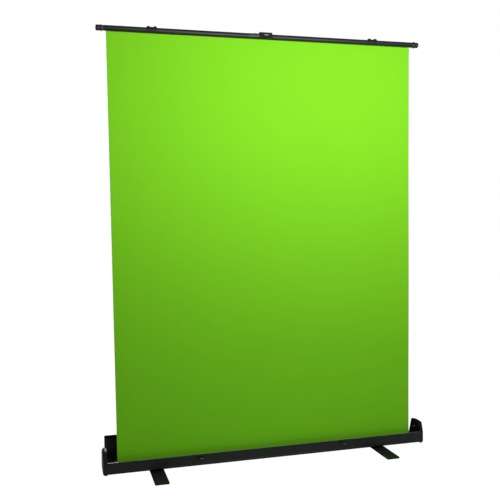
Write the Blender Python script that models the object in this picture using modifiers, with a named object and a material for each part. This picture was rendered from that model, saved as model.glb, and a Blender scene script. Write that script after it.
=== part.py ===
"""A green backdrop screen that rises out of its own floor case, shown standing open.

The cloth leaves a spring roller in the case tray and hangs from a top bar. Behind it two
elbow arms carry the bar: each has a lower and an upper arm of one length, so the bar stays
straight above the case while they fold. Flat arms in two layers cross like a large X.
The lid stands open behind the case, and two flat feet turn out under it.
Metres, +Z up, floor at Z = 0, the cloth's face towards -Y, the middle of the case at X = 0.
"""

import math

import bmesh
import bpy
from mathutils import Matrix, Vector

PANEL = "collapsible_backdrop_panel"
GAP = 0.0003  # left between pieces that touch
WELD = 1e-6
SIDES = 16  # sides of a small round piece
ROUND_SIDES = 24  # sides of a bar, tube or roller

# Case tray, a bent channel; its rear wall ends in the bead that the lid turns on
CASE_HALF_LENGTH = 0.7875
SHEET = 0.002
FRONT_Y = -0.060
REAR_Y = 0.0585
TRAY_BOTTOM = 0.016
TRAY_FRONT_TOP = 0.070
TRAY_REAR_TOP = 0.0283
TRAY_CORNER = 0.006
HINGE = (0.0605, 0.033)
BEAD_RADIUS = 0.0024
HOOK_INNER_RADIUS = 0.0029
HOOK_OUTER_RADIUS = 0.0044

# End caps
CAP_INNER_X = CASE_HALF_LENGTH + GAP
CAP_EDGE_X = 0.7978
CAP_BOTTOM = 0.0115
# Scale along Y and Z, and rise, of each step of the dome
CAP_DOME = ((0.976, 0.990, 0.0035), (0.957, 0.985, 0.0030), (0.926, 0.965, 0.0022), (0.880, 0.920, 0.0008))
CAP_SCREW_YZ = (0.008, 0.0806)

# Lid, drawn closed and then turned open
LID_HALF_LENGTH = 0.787
LID_OPEN = math.radians(-90)

# Roller and cloth
ROLLER_YZ = (-0.004, 0.045)
SHAFT_RADIUS = 0.004
SHAFT_HALF_LENGTH = 0.772
ROLLER_RADIUS = 0.015
ROLLER_BORE = 0.0133
ROLLER_HALF_LENGTH = 0.7525
WOUND_RADIUS = 0.0179
CLOTH_Y = -0.0225
CLOTH_HALF_WIDTH = 0.74
CLOTH_THICKNESS = 0.0008
CLOTH_TOP = 2.0105
SPRING_START, SPRING_LENGTH, SPRING_TURNS = -0.70, 0.26, 13
SPRING_RADIUS, SPRING_WIRE = 0.0085, 0.0011

# Top bar
BAR_HALF_LENGTH = 0.750
BAR_YZ = (-0.0288, 2.0175)
BAR_RADIUS = 0.0125
BAR_BORE = 0.011
BAR_SLOT = 0.003
SADDLE_RADIUS = BAR_RADIUS + GAP
BRACKET_WIDTH = 0.046
PULL_HANDLE_X = (-0.0360, 0.0235)

# Folding frame: pivots at X = +-PIVOT_X, knees KNEE_PAST_MIDDLE beyond the middle
PIVOT_X = 0.5375
KNEE_PAST_MIDDLE = 0.030
BASE_PIVOT_Z = 0.042
TOP_PIVOT_Z = 2.012
ARM_HALF_HEIGHT = 0.010
LAYERS = {"front": (0.0225, 0.0305), "rear": (0.0315, 0.0395)}  # Y from and to
PIN_RADIUS = 0.004
RUNNING_HOLE = 0.0044
OPEN_PIVOT_PIN = 0.0033  # the pivot left open has more room
OPEN_PIVOT_HOLE = 0.0050

# Gas spring, level between the two lower arms
STUD_DISTANCE = 0.120
STRUT_Y = 0.0465
CYLINDER_RADIUS = 0.0058
CYLINDER_BORE = 0.0044
ROD_RADIUS = 0.0035
CYLINDER_LENGTH = 0.45
ROD_LENGTH = 0.60

# Feet and latches
FOOT_X = 0.560
FOOT_WIDTH = 0.065
FOOT_LENGTH = 0.425
FOOT_TOP = 0.008
PAD_TOP = 0.0015
LATCH_X = 0.360
LATCH_WIDTH = 0.036
LATCH_PIN_YZ = (-0.0652, 0.0500)

# Carry handle on the closed lid's top
HANDLE_PIVOT = (-0.026, 0.1292)
HANDLE_HALF_WIDTH = 0.076
HANDLE_REACH = 0.038
HANDLE_RADIUS = 0.004

# Finishes: colour, roughness, metallic
BLACK_METAL = ((0.014, 0.014, 0.015), 0.42, 0.6)
GREY_METAL = ((0.055, 0.060, 0.066), 0.35, 0.8)
BARE_METAL = ((0.62, 0.62, 0.62), 0.30, 1.0)
BLACK_PLASTIC = ((0.011, 0.011, 0.012), 0.55, 0.0)
RUBBER = ((0.010, 0.010, 0.010), 0.85, 0.0)
GREEN_CLOTH = ((0.190, 0.610, 0.018), 0.85, 0.0)

# Where a flat outline's own axes go, and the way it is then extruded
ALONG_X = Matrix(((0, 0, 1), (1, 0, 0), (0, 1, 0)))
ALONG_Y = Matrix(((1, 0, 0), (0, 0, -1), (0, 1, 0)))
ALONG_Z = Matrix.Identity(3)
FACING = {1: ALONG_X, -1: Matrix.Rotation(math.pi, 3, "Z") @ ALONG_X}

SIDE_NAMES = {-1: "left", 1: "right"}


def clear_scene():
    for obj in list(bpy.data.objects):
        bpy.data.objects.remove(obj, do_unlink=True)


def new_collection(name):
    collection = bpy.data.collections.new(name)
    bpy.context.scene.collection.children.link(collection)
    return collection


def make_material(name, finish):
    colour, roughness, metallic = finish
    material = bpy.data.materials.new(name)
    material.use_nodes = True
    shader = material.node_tree.nodes["Principled BSDF"]
    shader.inputs["Base Color"].default_value = (*colour, 1.0)
    shader.inputs["Roughness"].default_value = roughness
    shader.inputs["Metallic"].default_value = metallic
    return material


def add_object(name, mesh, finish, pivot):
    """A mesh drawn in world places becomes an object with its origin at the pivot."""
    mesh.transform(Matrix.Translation(-Vector(pivot)))
    mesh.name = name
    obj = bpy.data.objects.new(name, mesh)
    obj.location = pivot
    if finish:
        bpy.data.collections[PANEL].objects.link(obj)
        mesh.materials.append(make_material(name, finish))
        mesh.shade_smooth()
        mesh.set_sharp_from_angle(angle=math.radians(35))
    else:
        bpy.data.collections["cutters"].objects.link(obj)
        obj.hide_render = True
        obj.display_type = "WIRE"
    return obj


def mesh_of(obj, turn, shift):
    """The evaluated mesh of a helper object, welded and put in its world place."""
    bpy.context.scene.collection.objects.link(obj)
    graph = bpy.context.evaluated_depsgraph_get()
    mesh = bpy.data.meshes.new_from_object(obj.evaluated_get(graph))
    bpy.data.objects.remove(obj, do_unlink=True)
    mesh.transform(Matrix.Translation(Vector(shift)) @ turn.to_4x4())
    shape = bmesh.new()
    shape.from_mesh(mesh)
    bmesh.ops.remove_doubles(shape, verts=shape.verts, dist=WELD)
    bmesh.ops.dissolve_limit(shape, angle_limit=1e-4, verts=shape.verts, edges=shape.edges)
    bmesh.ops.recalc_face_normals(shape, faces=shape.faces)
    shape.to_mesh(mesh)
    shape.free()
    return mesh


def extruded(name, outlines, turn, low, high, finish=None, pivot=(0, 0, 0)):
    """Flat outlines, later ones being holes, extruded from low to high along the turned axis."""
    curve = bpy.data.curves.new(name, "CURVE")
    curve.dimensions = "2D"
    curve.fill_mode = "BOTH"
    curve.extrude = (high - low) / 2
    for outline in outlines:
        spline = curve.splines.new("POLY")
        spline.points.add(len(outline) - 1)
        for point, (u, v) in zip(spline.points, outline):
            point.co = (u, v, 0, 1)
        spline.use_cyclic_u = True
    axis = turn @ Vector((0, 0, 1))
    shift = Vector([abs(part) for part in axis]) * (low + high) / 2
    mesh = mesh_of(bpy.data.objects.new(name, curve), turn, shift)
    return add_object(name, mesh, finish, pivot)


def turned(name, profile, turn, shift, finish=None, pivot=(0, 0, 0), sides=SIDES, closed=False):
    """A profile of (radius, height), running down its outer side, spun about the turned axis."""
    mesh = bpy.data.meshes.new(name)
    count = len(profile)
    edges = [(i, i + 1) for i in range(count - 1)]
    if closed:
        edges.append((count - 1, 0))
    mesh.from_pydata([(radius, 0, height) for radius, height in profile], edges, [])
    helper = bpy.data.objects.new(name, mesh)
    screw = helper.modifiers.new("spin", "SCREW")
    screw.steps = screw.render_steps = sides
    screw.use_merge_vertices = True
    screw.merge_threshold = WELD
    return add_object(name, mesh_of(helper, turn, shift), finish, pivot)


def box(name, low, high, finish, pivot=(0, 0, 0)):
    shape = bmesh.new()
    bmesh.ops.create_cube(shape, size=1.0)
    size = Vector(high) - Vector(low)
    bmesh.ops.scale(shape, vec=size, verts=shape.verts)
    bmesh.ops.translate(shape, vec=(Vector(low) + Vector(high)) / 2, verts=shape.verts)
    mesh = bpy.data.meshes.new(name)
    shape.to_mesh(mesh)
    shape.free()
    return add_object(name, mesh, finish, pivot)


def combine(obj, tool, operation):
    boolean = obj.modifiers.new(operation.lower(), "BOOLEAN")
    boolean.operation = operation
    boolean.object = tool


def pivot_empty(name, place):
    empty = bpy.data.objects.new(name, None)
    empty.location = place
    empty.empty_display_size = 0.03
    bpy.data.collections[PANEL].objects.link(empty)
    return empty


def carry(empty, pieces):
    """Parents pieces to a joint's empty and leaves them where they are."""
    for piece in pieces:
        piece.parent = empty
        piece.matrix_parent_inverse = Matrix.Translation(-empty.location)


def arc(centre, radius, start, end, steps):
    angles = [math.radians(start + (end - start) * i / steps) for i in range(steps + 1)]
    return [(centre[0] + radius * math.cos(t), centre[1] + radius * math.sin(t)) for t in angles]


def circle(centre, radius, sides=SIDES):
    return arc(centre, radius, 0, 360 * (sides - 1) / sides, sides - 1)


def rounded_rectangle(low, high, radius, steps=3):
    corners = ((high[0], high[1], 0), (low[0], high[1], 90), (low[0], low[1], 180), (high[0], low[1], 270))
    outline = []
    for x, y, start in corners:
        inward_x = math.copysign(radius, low[0] + high[0] - 2 * x)
        inward_y = math.copysign(radius, low[1] + high[1] - 2 * y)
        outline += arc((x + inward_x, y + inward_y), radius, start, start + 90, steps)
    return outline


def stadium(start, end, radius, steps=7):
    """A bar's outline: two half circles joined by straight sides."""
    heading = math.degrees(math.atan2(end[1] - start[1], end[0] - start[0]))
    far = arc(end, radius, heading - 90, heading + 90, steps)
    return far + arc(start, radius, heading + 90, heading + 270, steps)


def inside_of(path, distance):
    """The path moved to its left by the distance, with mitred corners."""
    ways = [(Vector(b) - Vector(a)).normalized() for a, b in zip(path, path[1:])]
    ways = [ways[0], *ways, ways[-1]]
    moved = []
    for point, before, after in zip(path, ways, ways[1:]):
        normal = Vector((-before.y - after.y, before.x + after.x)).normalized()
        stretch = distance / normal.dot(Vector((-before.y, before.x)))
        moved.append(tuple(Vector(point) + normal * stretch))
    return moved


def opened(outline):
    """An outline drawn on the closed lid, turned open about the hinge."""
    cos, sin = math.cos(LID_OPEN), math.sin(LID_OPEN)
    turned_points = []
    for y, z in outline:
        dy, dz = y - HINGE[0], z - HINGE[1]
        turned_points.append((HINGE[0] + dy * cos - dz * sin, HINGE[1] + dy * sin + dz * cos))
    return turned_points


# The closed lid's outer skin, from the front lip over the top to the hinge
LID_SKIN = [
    (-0.0597, 0.0706),
    (-0.0475, 0.1085),
    (-0.0432, 0.1180),
    (-0.0385, 0.1208),
    (0.0030, 0.1222),
    (0.0330, 0.1168),
    (0.0398, 0.1115),
    (0.0492, 0.0800),
    (0.0601, 0.0374),
]


def build_tray():
    front_corner = (FRONT_Y + TRAY_CORNER, TRAY_BOTTOM + TRAY_CORNER)
    rear_corner = (REAR_Y - TRAY_CORNER, TRAY_BOTTOM + TRAY_CORNER)
    inner_radius = TRAY_CORNER - SHEET
    outline = [
        (FRONT_Y, TRAY_FRONT_TOP),
        *arc(front_corner, TRAY_CORNER, 180, 270, 3),
        *arc(rear_corner, TRAY_CORNER, 270, 360, 3),
        (REAR_Y, TRAY_REAR_TOP),
        *arc(HINGE, BEAD_RADIUS, 253, 577, 12),
        (REAR_Y - SHEET, TRAY_REAR_TOP),
        *arc(rear_corner, inner_radius, 360, 270, 3),
        *arc(front_corner, inner_radius, 270, 180, 3),
        (FRONT_Y + SHEET, TRAY_FRONT_TOP),
    ]
    end = CASE_HALF_LENGTH
    tray = extruded("case_tray", [outline], ALONG_X, -end, end, BLACK_METAL)
    for side, name in SIDE_NAMES.items():
        hole = [circle((side * FOOT_X, 0), RUNNING_HOLE)]
        cutter = extruded(f"tray_hole_{name}", hole, ALONG_Z, 0.012, 0.022)
        combine(tray, cutter, "DIFFERENCE")


def build_end_cap(side, name):
    outline = [
        (-0.0545, CAP_BOTTOM),
        (0.0540, CAP_BOTTOM),
        (0.0605, 0.0190),
        (0.0655, 0.0290),
        (0.0655, 0.0370),
        *inside_of(LID_SKIN, -0.0006)[-2:0:-1],
        (-0.0606, 0.0700),
        (-0.0606, 0.0180),
    ]
    low, high = sorted((side * CAP_INNER_X, side * CAP_EDGE_X))
    cap = extruded(f"end_cap_{name}", [outline], ALONG_X, low, high, BLACK_PLASTIC)
    shape = bmesh.new()
    shape.from_mesh(cap.data)
    outer = max(shape.faces, key=lambda face: side * face.calc_center_median().x)
    for scale_y, scale_z, rise in CAP_DOME:
        outer = bmesh.ops.extrude_discrete_faces(shape, faces=[outer])["faces"][0]
        centre = outer.calc_center_median()
        to_centre = Matrix.Translation(-centre)
        bmesh.ops.scale(shape, vec=(1, scale_y, scale_z), verts=outer.verts, space=to_centre)
        bmesh.ops.translate(shape, vec=(side * rise, 0, 0), verts=outer.verts)
    shape.to_mesh(cap.data)
    shape.free()
    turn = FACING[-side]
    face = (side * CAP_INNER_X, *CAP_SCREW_YZ)
    hole = [(0, 0.002), (0.0019, 0.002), (0.0019, -0.012), (0, -0.012)]
    combine(cap, turned(f"screw_hole_{name}", hole, turn, face), "DIFFERENCE")
    head = [(0, 0.0022), (0.0024, 0.0020), (0.0038, 0.0009), (0.0038, 0.0003)]
    shank = [(0.0015, 0.0003), (0.0015, -0.011), (0, -0.011)]
    turned(f"end_cap_screw_{name}", head + shank, turn, face, BARE_METAL)


def build_lid():
    hook = [
        *arc(HINGE, HOOK_OUTER_RADIUS, 80, -5, 5),
        *arc(HINGE, HOOK_INNER_RADIUS, -5, 215, 12),
        *arc(HINGE, HOOK_OUTER_RADIUS, 215, 135, 5),
    ]
    # From the lip to the hinge, the lid's inside lies to the right
    inner_skin = inside_of(LID_SKIN, -SHEET)
    outline = opened([*LID_SKIN, *hook, *reversed(inner_skin)])
    pivot = (0, *HINGE)
    end = LID_HALF_LENGTH
    shell = extruded("lid_shell", [outline], ALONG_X, -end, end, BLACK_METAL, pivot)
    lip, rise = Vector(LID_SKIN[0]), Vector(LID_SKIN[1]) - Vector(LID_SKIN[0])
    up = rise.normalized()
    out = Vector((-up.y, up.x))
    pieces = [shell]
    for side, name in SIDE_NAMES.items():
        corners = ((0.004, GAP), (0.014, GAP), (0.014, 0.0015), (0.009, 0.0015))
        corners += ((0.0075, 0.0040), (0.004, 0.0040))
        strike = opened([tuple(lip + up * along + out * off) for along, off in corners])
        low, high = side * LATCH_X - 0.013, side * LATCH_X + 0.013
        pieces.append(extruded(f"lid_strike_{name}", [strike], ALONG_X, low, high, BARE_METAL, pivot))
    pieces += build_handle_brackets(pivot)
    carry(pivot_empty("lid_hinge", pivot), pieces)
    build_handle()


def build_handle_brackets(pivot):
    top = 0.1226
    base = [(HANDLE_PIVOT[0] - 0.008, top), (HANDLE_PIVOT[0] + 0.010, top + 0.0003)]
    block = [*base, *arc(HANDLE_PIVOT, 0.0072, 20, 160, 6)]
    hole = circle(HANDLE_PIVOT, HANDLE_RADIUS + 0.0004)
    outlines = [opened(block), opened(hole)]
    brackets = []
    for side, name in SIDE_NAMES.items():
        low, high = sorted((side * (HANDLE_HALF_WIDTH + 0.0100), side * (HANDLE_HALF_WIDTH + 0.0195)))
        bracket = extruded(f"handle_bracket_{name}", outlines, ALONG_X, low, high, BLACK_PLASTIC, pivot)
        brackets.append(bracket)
    return brackets


def build_handle():
    """A bail whose ends turn outwards into the two brackets."""
    corner = 0.007
    half = HANDLE_HALF_WIDTH
    right = [(half + 0.0205, 0)] + arc((half + corner, corner), corner, 270, 180, 3)
    right += arc((half - corner, HANDLE_REACH - corner), corner, 0, 90, 3)
    route = right + [(-x, reach) for x, reach in reversed(right)]
    place = [(x, *opened([(HANDLE_PIVOT[0] + reach, HANDLE_PIVOT[1])])[0]) for x, reach in route]
    pivot = (0, *opened([HANDLE_PIVOT])[0])
    handle = rod_along("carry_handle", place, HANDLE_RADIUS, BLACK_PLASTIC, pivot)
    carry(pivot_empty("handle_pivot", pivot), [handle])


def rod_along(name, route, radius, finish, pivot=(0, 0, 0), resolution=2):
    curve = bpy.data.curves.new(name, "CURVE")
    curve.dimensions = "3D"
    curve.bevel_depth = radius
    curve.bevel_resolution = resolution
    curve.use_fill_caps = True
    spline = curve.splines.new("POLY")
    spline.points.add(len(route) - 1)
    for point, place in zip(spline.points, route):
        point.co = (*place, 1)
    mesh = mesh_of(bpy.data.objects.new(name, curve), ALONG_Z, (0, 0, 0))
    return add_object(name, mesh, finish, pivot)


def build_roller():
    centre = (0, *ROLLER_YZ)
    half = ROLLER_HALF_LENGTH

    def sleeve(name, inner, outer, reach, finish):
        profile = [(outer, reach), (outer, -reach), (inner, -reach), (inner, reach)]
        return turned(name, profile, ALONG_X, centre, finish, centre, ROUND_SIDES, closed=True)

    pieces = [
        sleeve("roller_tube", ROLLER_BORE, ROLLER_RADIUS, half, GREY_METAL),
        sleeve("cloth_roll", ROLLER_RADIUS + GAP, WOUND_RADIUS, CLOTH_HALF_WIDTH, GREEN_CLOTH),
    ]
    hole = SHAFT_RADIUS + 0.0004
    plug = [(0.0165, 0.0042), (0.0165, 0.0003), (0.0130, 0.0003), (0.0130, -0.028)]
    plug += [(hole, -0.028), (hole, 0.0042)]
    for side, name in SIDE_NAMES.items():
        turn = FACING[side]
        end = (side * half, *ROLLER_YZ)
        pieces.append(turned(f"roller_plug_{name}", plug, turn, end, BLACK_PLASTIC, centre, closed=True))
        build_roller_bracket(side, name)
    carry(pivot_empty("roller_axis", centre), pieces)

    end = SHAFT_HALF_LENGTH
    shaft = [(0, end), (SHAFT_RADIUS, end), (SHAFT_RADIUS, -end), (0, -end)]
    turned("roller_shaft", shaft, ALONG_X, centre, BARE_METAL)
    points = 10
    route = []
    for i in range(SPRING_TURNS * points + 1):
        angle = 2 * math.pi * i / points
        along = SPRING_START + SPRING_LENGTH * i / (SPRING_TURNS * points)
        y = ROLLER_YZ[0] + SPRING_RADIUS * math.cos(angle)
        z = ROLLER_YZ[1] + SPRING_RADIUS * math.sin(angle)
        route.append((along, y, z))
    rod_along("roller_spring", route, SPRING_WIRE, BARE_METAL, resolution=1)


def build_roller_bracket(side, name):
    y, z = ROLLER_YZ
    floor = TRAY_BOTTOM + SHEET + GAP
    outline = [(y - 0.018, floor), (y + 0.018, floor), *arc((y, z), 0.012, 15, 165, 6)]
    hole = circle((y, z), SHAFT_RADIUS + GAP)
    low, high = sorted((side * 0.7640, side * 0.7680))
    extruded(f"roller_bracket_{name}", [outline, hole], ALONG_X, low, high, BLACK_METAL)


def build_cloth():
    low = (-CLOTH_HALF_WIDTH, CLOTH_Y - CLOTH_THICKNESS / 2, ROLLER_YZ[1])
    high = (CLOTH_HALF_WIDTH, CLOTH_Y + CLOTH_THICKNESS / 2, CLOTH_TOP)
    box("green_screen", low, high, GREEN_CLOTH)


def bar_outline():
    """A round tube with a slot underneath, where the cloth goes in."""
    slot_y = CLOTH_Y - BAR_YZ[0]
    near, far = slot_y - BAR_SLOT / 2, slot_y + BAR_SLOT / 2
    outer = [math.degrees(math.acos(offset / BAR_RADIUS)) for offset in (far, near)]
    inner = [math.degrees(math.acos(offset / BAR_BORE)) for offset in (far, near)]
    ring = arc(BAR_YZ, BAR_RADIUS, -outer[0], 360 - outer[1], ROUND_SIDES)
    return ring + arc(BAR_YZ, BAR_BORE, 360 - inner[1], -inner[0], ROUND_SIDES)


def build_top_bar():
    bar = extruded("top_bar", [bar_outline()], ALONG_X, -BAR_HALF_LENGTH, BAR_HALF_LENGTH, GREY_METAL)
    hem = circle((CLOTH_Y, 2.0137), 0.0022, 10)
    hem_rod = extruded("hem_rod", [hem], ALONG_X, -CLOTH_HALF_WIDTH, CLOTH_HALF_WIDTH, BARE_METAL)
    pieces = [bar, hem_rod, build_pull_handle()]
    cap = [
        (0, 0.0350),
        (0.0095, 0.0345),
        (0.0120, 0.0325),
        (0.0128, 0.0295),
        (0.0128, 0.0125),
        (0.0155, 0.0118),
        (0.0155, 0.0085),
        (0.0116, 0.0078),
        (0.0116, 0.0003),
        (0.0060, 0.0003),
        (0.0060, -0.0090),
        (0, -0.0090),
    ]
    for side, name in SIDE_NAMES.items():
        turn = FACING[side]
        end = (side * BAR_HALF_LENGTH, *BAR_YZ)
        pieces.append(turned(f"bar_cap_{name}", cap, turn, end, BLACK_PLASTIC, sides=20))
        pieces += build_top_bracket(side, name)
    carry(pivot_empty("bar_pivot", (-PIVOT_X, LAYERS["rear"][0], TOP_PIVOT_Z)), pieces)


def build_pull_handle():
    front, top = -0.0452, 2.035
    outline = [
        (front + 0.0012, 2.0113),
        (front, 2.0125),
        (front, top - 0.002),
        (front + 0.002, top),
        (-0.0210, top),
        *arc(BAR_YZ, SADDLE_RADIUS, 60, 209, 10),
    ]
    return extruded("pull_handle", [outline], ALONG_X, *PULL_HANDLE_X, BLACK_PLASTIC)


def build_top_bracket(side, name):
    """A saddle over the bar whose block reaches back to the arm, and the pin that carries it."""
    layer = LAYERS["rear" if side < 0 else "front"]
    back = layer[0] - 0.0007
    centre = side * PIVOT_X

    outline = [
        *arc(BAR_YZ, 0.0155, 200, 62, 9),
        (-0.0140, 2.0225),
        (back, 2.0225),
        (back, 2.0030),
        (-0.0150, 2.0030),
        (-0.0150, 2.0125),
        *arc(BAR_YZ, SADDLE_RADIUS, 0, 200, 13),
    ]
    half = BRACKET_WIDTH / 2
    bracket = extruded(f"top_bracket_{name}", [outline], ALONG_X, centre - half, centre + half, BLACK_PLASTIC)
    rib = arc(BAR_YZ, 0.0195, 135, 45, 6) + arc(BAR_YZ, 0.0142, 45, 135, 6)
    for number, offset in enumerate((-0.0150, 0.0150)):
        middle = centre + offset
        tool = extruded(f"rib_{name}_{number}", [rib], ALONG_X, middle - 0.004, middle + 0.004)
        combine(bracket, tool, "UNION")
    hole = [circle((centre, TOP_PIVOT_Z), RUNNING_HOLE)]
    combine(bracket, extruded(f"top_hole_{name}", hole, ALONG_Y, -0.0156, 0.035), "DIFFERENCE")
    radius = PIN_RADIUS if side < 0 else OPEN_PIVOT_PIN
    pin = pin_between(f"top_pin_{name}", centre, TOP_PIVOT_Z, -0.0130, layer[1] + 0.0007, radius)
    return [bracket, pin]


def pin_between(name, x, z, start, end, radius, head=0.0070, front_head=False):
    """A pin along Y with a domed head behind its end, and one before its start if asked."""
    length = end - start
    rise = 0.0026
    profile = [(0, length + rise), (head * 0.7, length + rise), (head, length + rise / 2), (head, length)]
    profile += [(radius, length), (radius, 0)]
    if front_head:
        profile += [(head, 0), (head, -0.0012), (head * 0.8, -0.0018)]
    profile.append((0, profile[-1][1]))
    turn = Matrix.Rotation(math.pi, 3, "X") @ ALONG_Y
    return turned(name, profile, turn, (x, start, z), BARE_METAL)


def arm(name, start, end, layer, end_hole, pivot):
    outlines = [stadium(start, end, ARM_HALF_HEIGHT), circle(start, RUNNING_HOLE), circle(end, end_hole)]
    low, high = LAYERS[layer]
    return extruded(name, outlines, ALONG_Y, low, high, BLACK_METAL, pivot)


def build_frame():
    knee_z = (BASE_PIVOT_Z + TOP_PIVOT_Z) / 2
    for side, name in SIDE_NAMES.items():
        lower_layer, upper_layer = ("front", "rear") if side < 0 else ("rear", "front")
        foot = (side * PIVOT_X, BASE_PIVOT_Z)
        knee = (-side * KNEE_PAST_MIDDLE, knee_z)
        top = (side * PIVOT_X, TOP_PIVOT_Z)
        base_pivot = (foot[0], LAYERS[lower_layer][0], foot[1])
        knee_pivot = (knee[0], LAYERS[upper_layer][0], knee[1])
        lower = arm(f"lower_arm_{name}", foot, knee, lower_layer, RUNNING_HOLE, base_pivot)
        top_hole = RUNNING_HOLE if side < 0 else OPEN_PIVOT_HOLE
        upper = arm(f"upper_arm_{name}", knee, top, upper_layer, top_hole, knee_pivot)
        knee_pin = pin_between(f"knee_pin_{name}", *knee, 0.0222, 0.0398, PIN_RADIUS, front_head=True)
        stud = build_stud(side, name, foot, knee, lower, LAYERS[lower_layer])
        carry(pivot_empty(f"base_pivot_{name}", base_pivot), [lower, knee_pin, stud])
        carry(pivot_empty(f"knee_pivot_{name}", knee_pivot), [upper])
        build_base_bracket(side, name)


def strut_ends():
    """X of the left and right studs, and their height."""
    rise = (TOP_PIVOT_Z - BASE_PIVOT_Z) / 2
    run = PIVOT_X + KNEE_PAST_MIDDLE
    share = STUD_DISTANCE / math.hypot(rise, run)
    reach = PIVOT_X - run * share
    return -reach, reach, BASE_PIVOT_Z + rise * share


def build_stud(side, name, foot, knee, lower, layer):
    """A thin stud from the lower arm back to the gas spring's layer."""
    left, right, z = strut_ends()
    x = left if side < 0 else right
    hole = [circle((x, z), 0.0033)]
    front, back = layer[0] - 0.002, layer[1] + 0.002
    combine(lower, extruded(f"stud_hole_{name}", hole, ALONG_Y, front, back), "DIFFERENCE")
    return pin_between(f"strut_stud_{name}", x, z, layer[0] + 0.001, STRUT_Y + 0.0068, 0.0030, head=0.0055)


def build_base_bracket(side, name):
    """A U of bent plate on the tray floor; its pin passes through both ears and the arm."""
    floor = TRAY_BOTTOM + SHEET + GAP
    front, back, plate = 0.0198, 0.0426, 0.0018
    outline = [
        (front, floor),
        (back, floor),
        (back, 0.052),
        (back - plate, 0.052),
        (back - plate, floor + 0.0025),
        (front + plate, floor + 0.0025),
        (front + plate, 0.052),
        (front, 0.052),
    ]
    centre = side * PIVOT_X
    low, high = centre - 0.013, centre + 0.013
    bracket = extruded(f"base_bracket_{name}", [outline], ALONG_X, low, high, BLACK_METAL)
    hole = [circle((centre, BASE_PIVOT_Z), RUNNING_HOLE)]
    combine(bracket, extruded(f"base_hole_{name}", hole, ALONG_Y, 0.015, 0.047), "DIFFERENCE")
    start, end = front + 0.0002, back + 0.0004
    pin_between(f"base_pin_{name}", centre, BASE_PIVOT_Z, start, end, PIN_RADIUS, head=0.0065)


def build_gas_spring():
    left, right, z = strut_ends()
    start = (left, STRUT_Y, z)
    shell = [
        (CYLINDER_RADIUS, CYLINDER_LENGTH),
        (CYLINDER_RADIUS, 0.016),
        (0.0040, 0.012),
        (0.0040, 0.005),
        (0, 0.005),
        (0, 0.018),
        (CYLINDER_BORE, 0.018),
        (CYLINDER_BORE, CYLINDER_LENGTH),
    ]
    cylinder = turned("gas_cylinder", shell, ALONG_X, start, BLACK_METAL, start, closed=True)
    eye_shape = [(0.0068, 0.0045), (0.0068, -0.0045), (0.0034, -0.0045), (0.0034, 0.0045)]
    combine(cylinder, turned("cylinder_eye", eye_shape, ALONG_Y, start, closed=True), "UNION")
    end = (right, STRUT_Y, z)
    bar = [(0, -0.005), (0.0035, -0.005), (ROD_RADIUS, -ROD_LENGTH), (0, -ROD_LENGTH)]
    rod = turned("gas_rod", bar, ALONG_X, end, BARE_METAL, end)
    combine(rod, turned("rod_eye", eye_shape, ALONG_Y, end, closed=True), "UNION")
    carry(pivot_empty("cylinder_pivot", start), [cylinder])
    carry(pivot_empty("rod_pivot", end), [rod])


def build_foot(side, name):
    x = side * FOOT_X
    half_width, half_length = FOOT_WIDTH / 2, FOOT_LENGTH / 2
    plan = rounded_rectangle((x - half_width, -half_length), (x + half_width, half_length), 0.006, 2)
    hole = circle((x, 0), RUNNING_HOLE)
    pivot = (x, 0, 0)
    low, high = PAD_TOP + GAP, FOOT_TOP
    pieces = [extruded(f"foot_bar_{name}", [plan, hole], ALONG_Z, low, high, BLACK_METAL, pivot)]
    for end, word in ((-1, "front"), (1, "rear")):
        y = end * (half_length - 0.022)
        low, high = (x - 0.026, y - 0.016, 0), (x + 0.026, y + 0.016, PAD_TOP)
        pieces.append(box(f"foot_pad_{name}_{word}", low, high, RUBBER, pivot=pivot))
    carry(pivot_empty(f"foot_pivot_{name}", pivot), pieces)
    hub_top = TRAY_BOTTOM - GAP
    hub = [(0.026, hub_top), (0.026, FOOT_TOP + GAP), (0.0045, FOOT_TOP + GAP), (0.0045, hub_top)]
    turned(f"foot_hub_{name}", hub, ALONG_Z, pivot, BLACK_PLASTIC, closed=True, sides=ROUND_SIDES)
    floor = TRAY_BOTTOM + SHEET + GAP
    head = [(0, floor + 0.003), (0.0060, floor + 0.003), (0.0075, floor + 0.0018), (0.0075, floor)]
    shank = [(PIN_RADIUS, floor), (PIN_RADIUS, 0.003), (0, 0.003)]
    turned(f"foot_bolt_{name}", head + shank, ALONG_Z, pivot, BARE_METAL)


def build_latch(side, name):
    x = side * LATCH_X
    half = LATCH_WIDTH / 2
    back = FRONT_Y - GAP
    plate = [(back, 0.0465), (back, 0.0685), (back - 0.002, 0.0675), (back - 0.002, 0.0475)]
    base = extruded(f"latch_base_{name}", [plate], ALONG_X, x - half, x + half, BLACK_METAL)
    ear = [(back - 0.001, 0.0470), (back - 0.001, 0.0560), *arc(LATCH_PIN_YZ, 0.0030, 100, 260, 5)]
    hole = circle(LATCH_PIN_YZ, 0.0015, 10)
    for number, offset in enumerate((-half, half - 0.002)):
        tool = extruded(f"latch_ear_{name}_{number}", [ear, hole], ALONG_X, x + offset, x + offset + 0.002)
        combine(base, tool, "UNION")
    pin = circle(LATCH_PIN_YZ, 0.0012, 10)
    extruded(f"latch_pin_{name}", [pin], ALONG_X, x - half - 0.0005, x + half + 0.0005, BARE_METAL)
    knuckle = arc(LATCH_PIN_YZ, 0.0023, 120, 395, 9)
    lever = [*knuckle, (-0.0629, 0.0530), (-0.0629, 0.0675), (-0.0640, 0.0685), (-0.0660, 0.0670)]
    lever.append((-0.0665, 0.0560))
    pivot = (x, *LATCH_PIN_YZ)
    half -= 0.0025
    piece = extruded(f"latch_lever_{name}", [lever, hole], ALONG_X, x - half, x + half, BLACK_METAL, pivot)
    carry(pivot_empty(f"latch_pivot_{name}", pivot), [piece])


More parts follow.
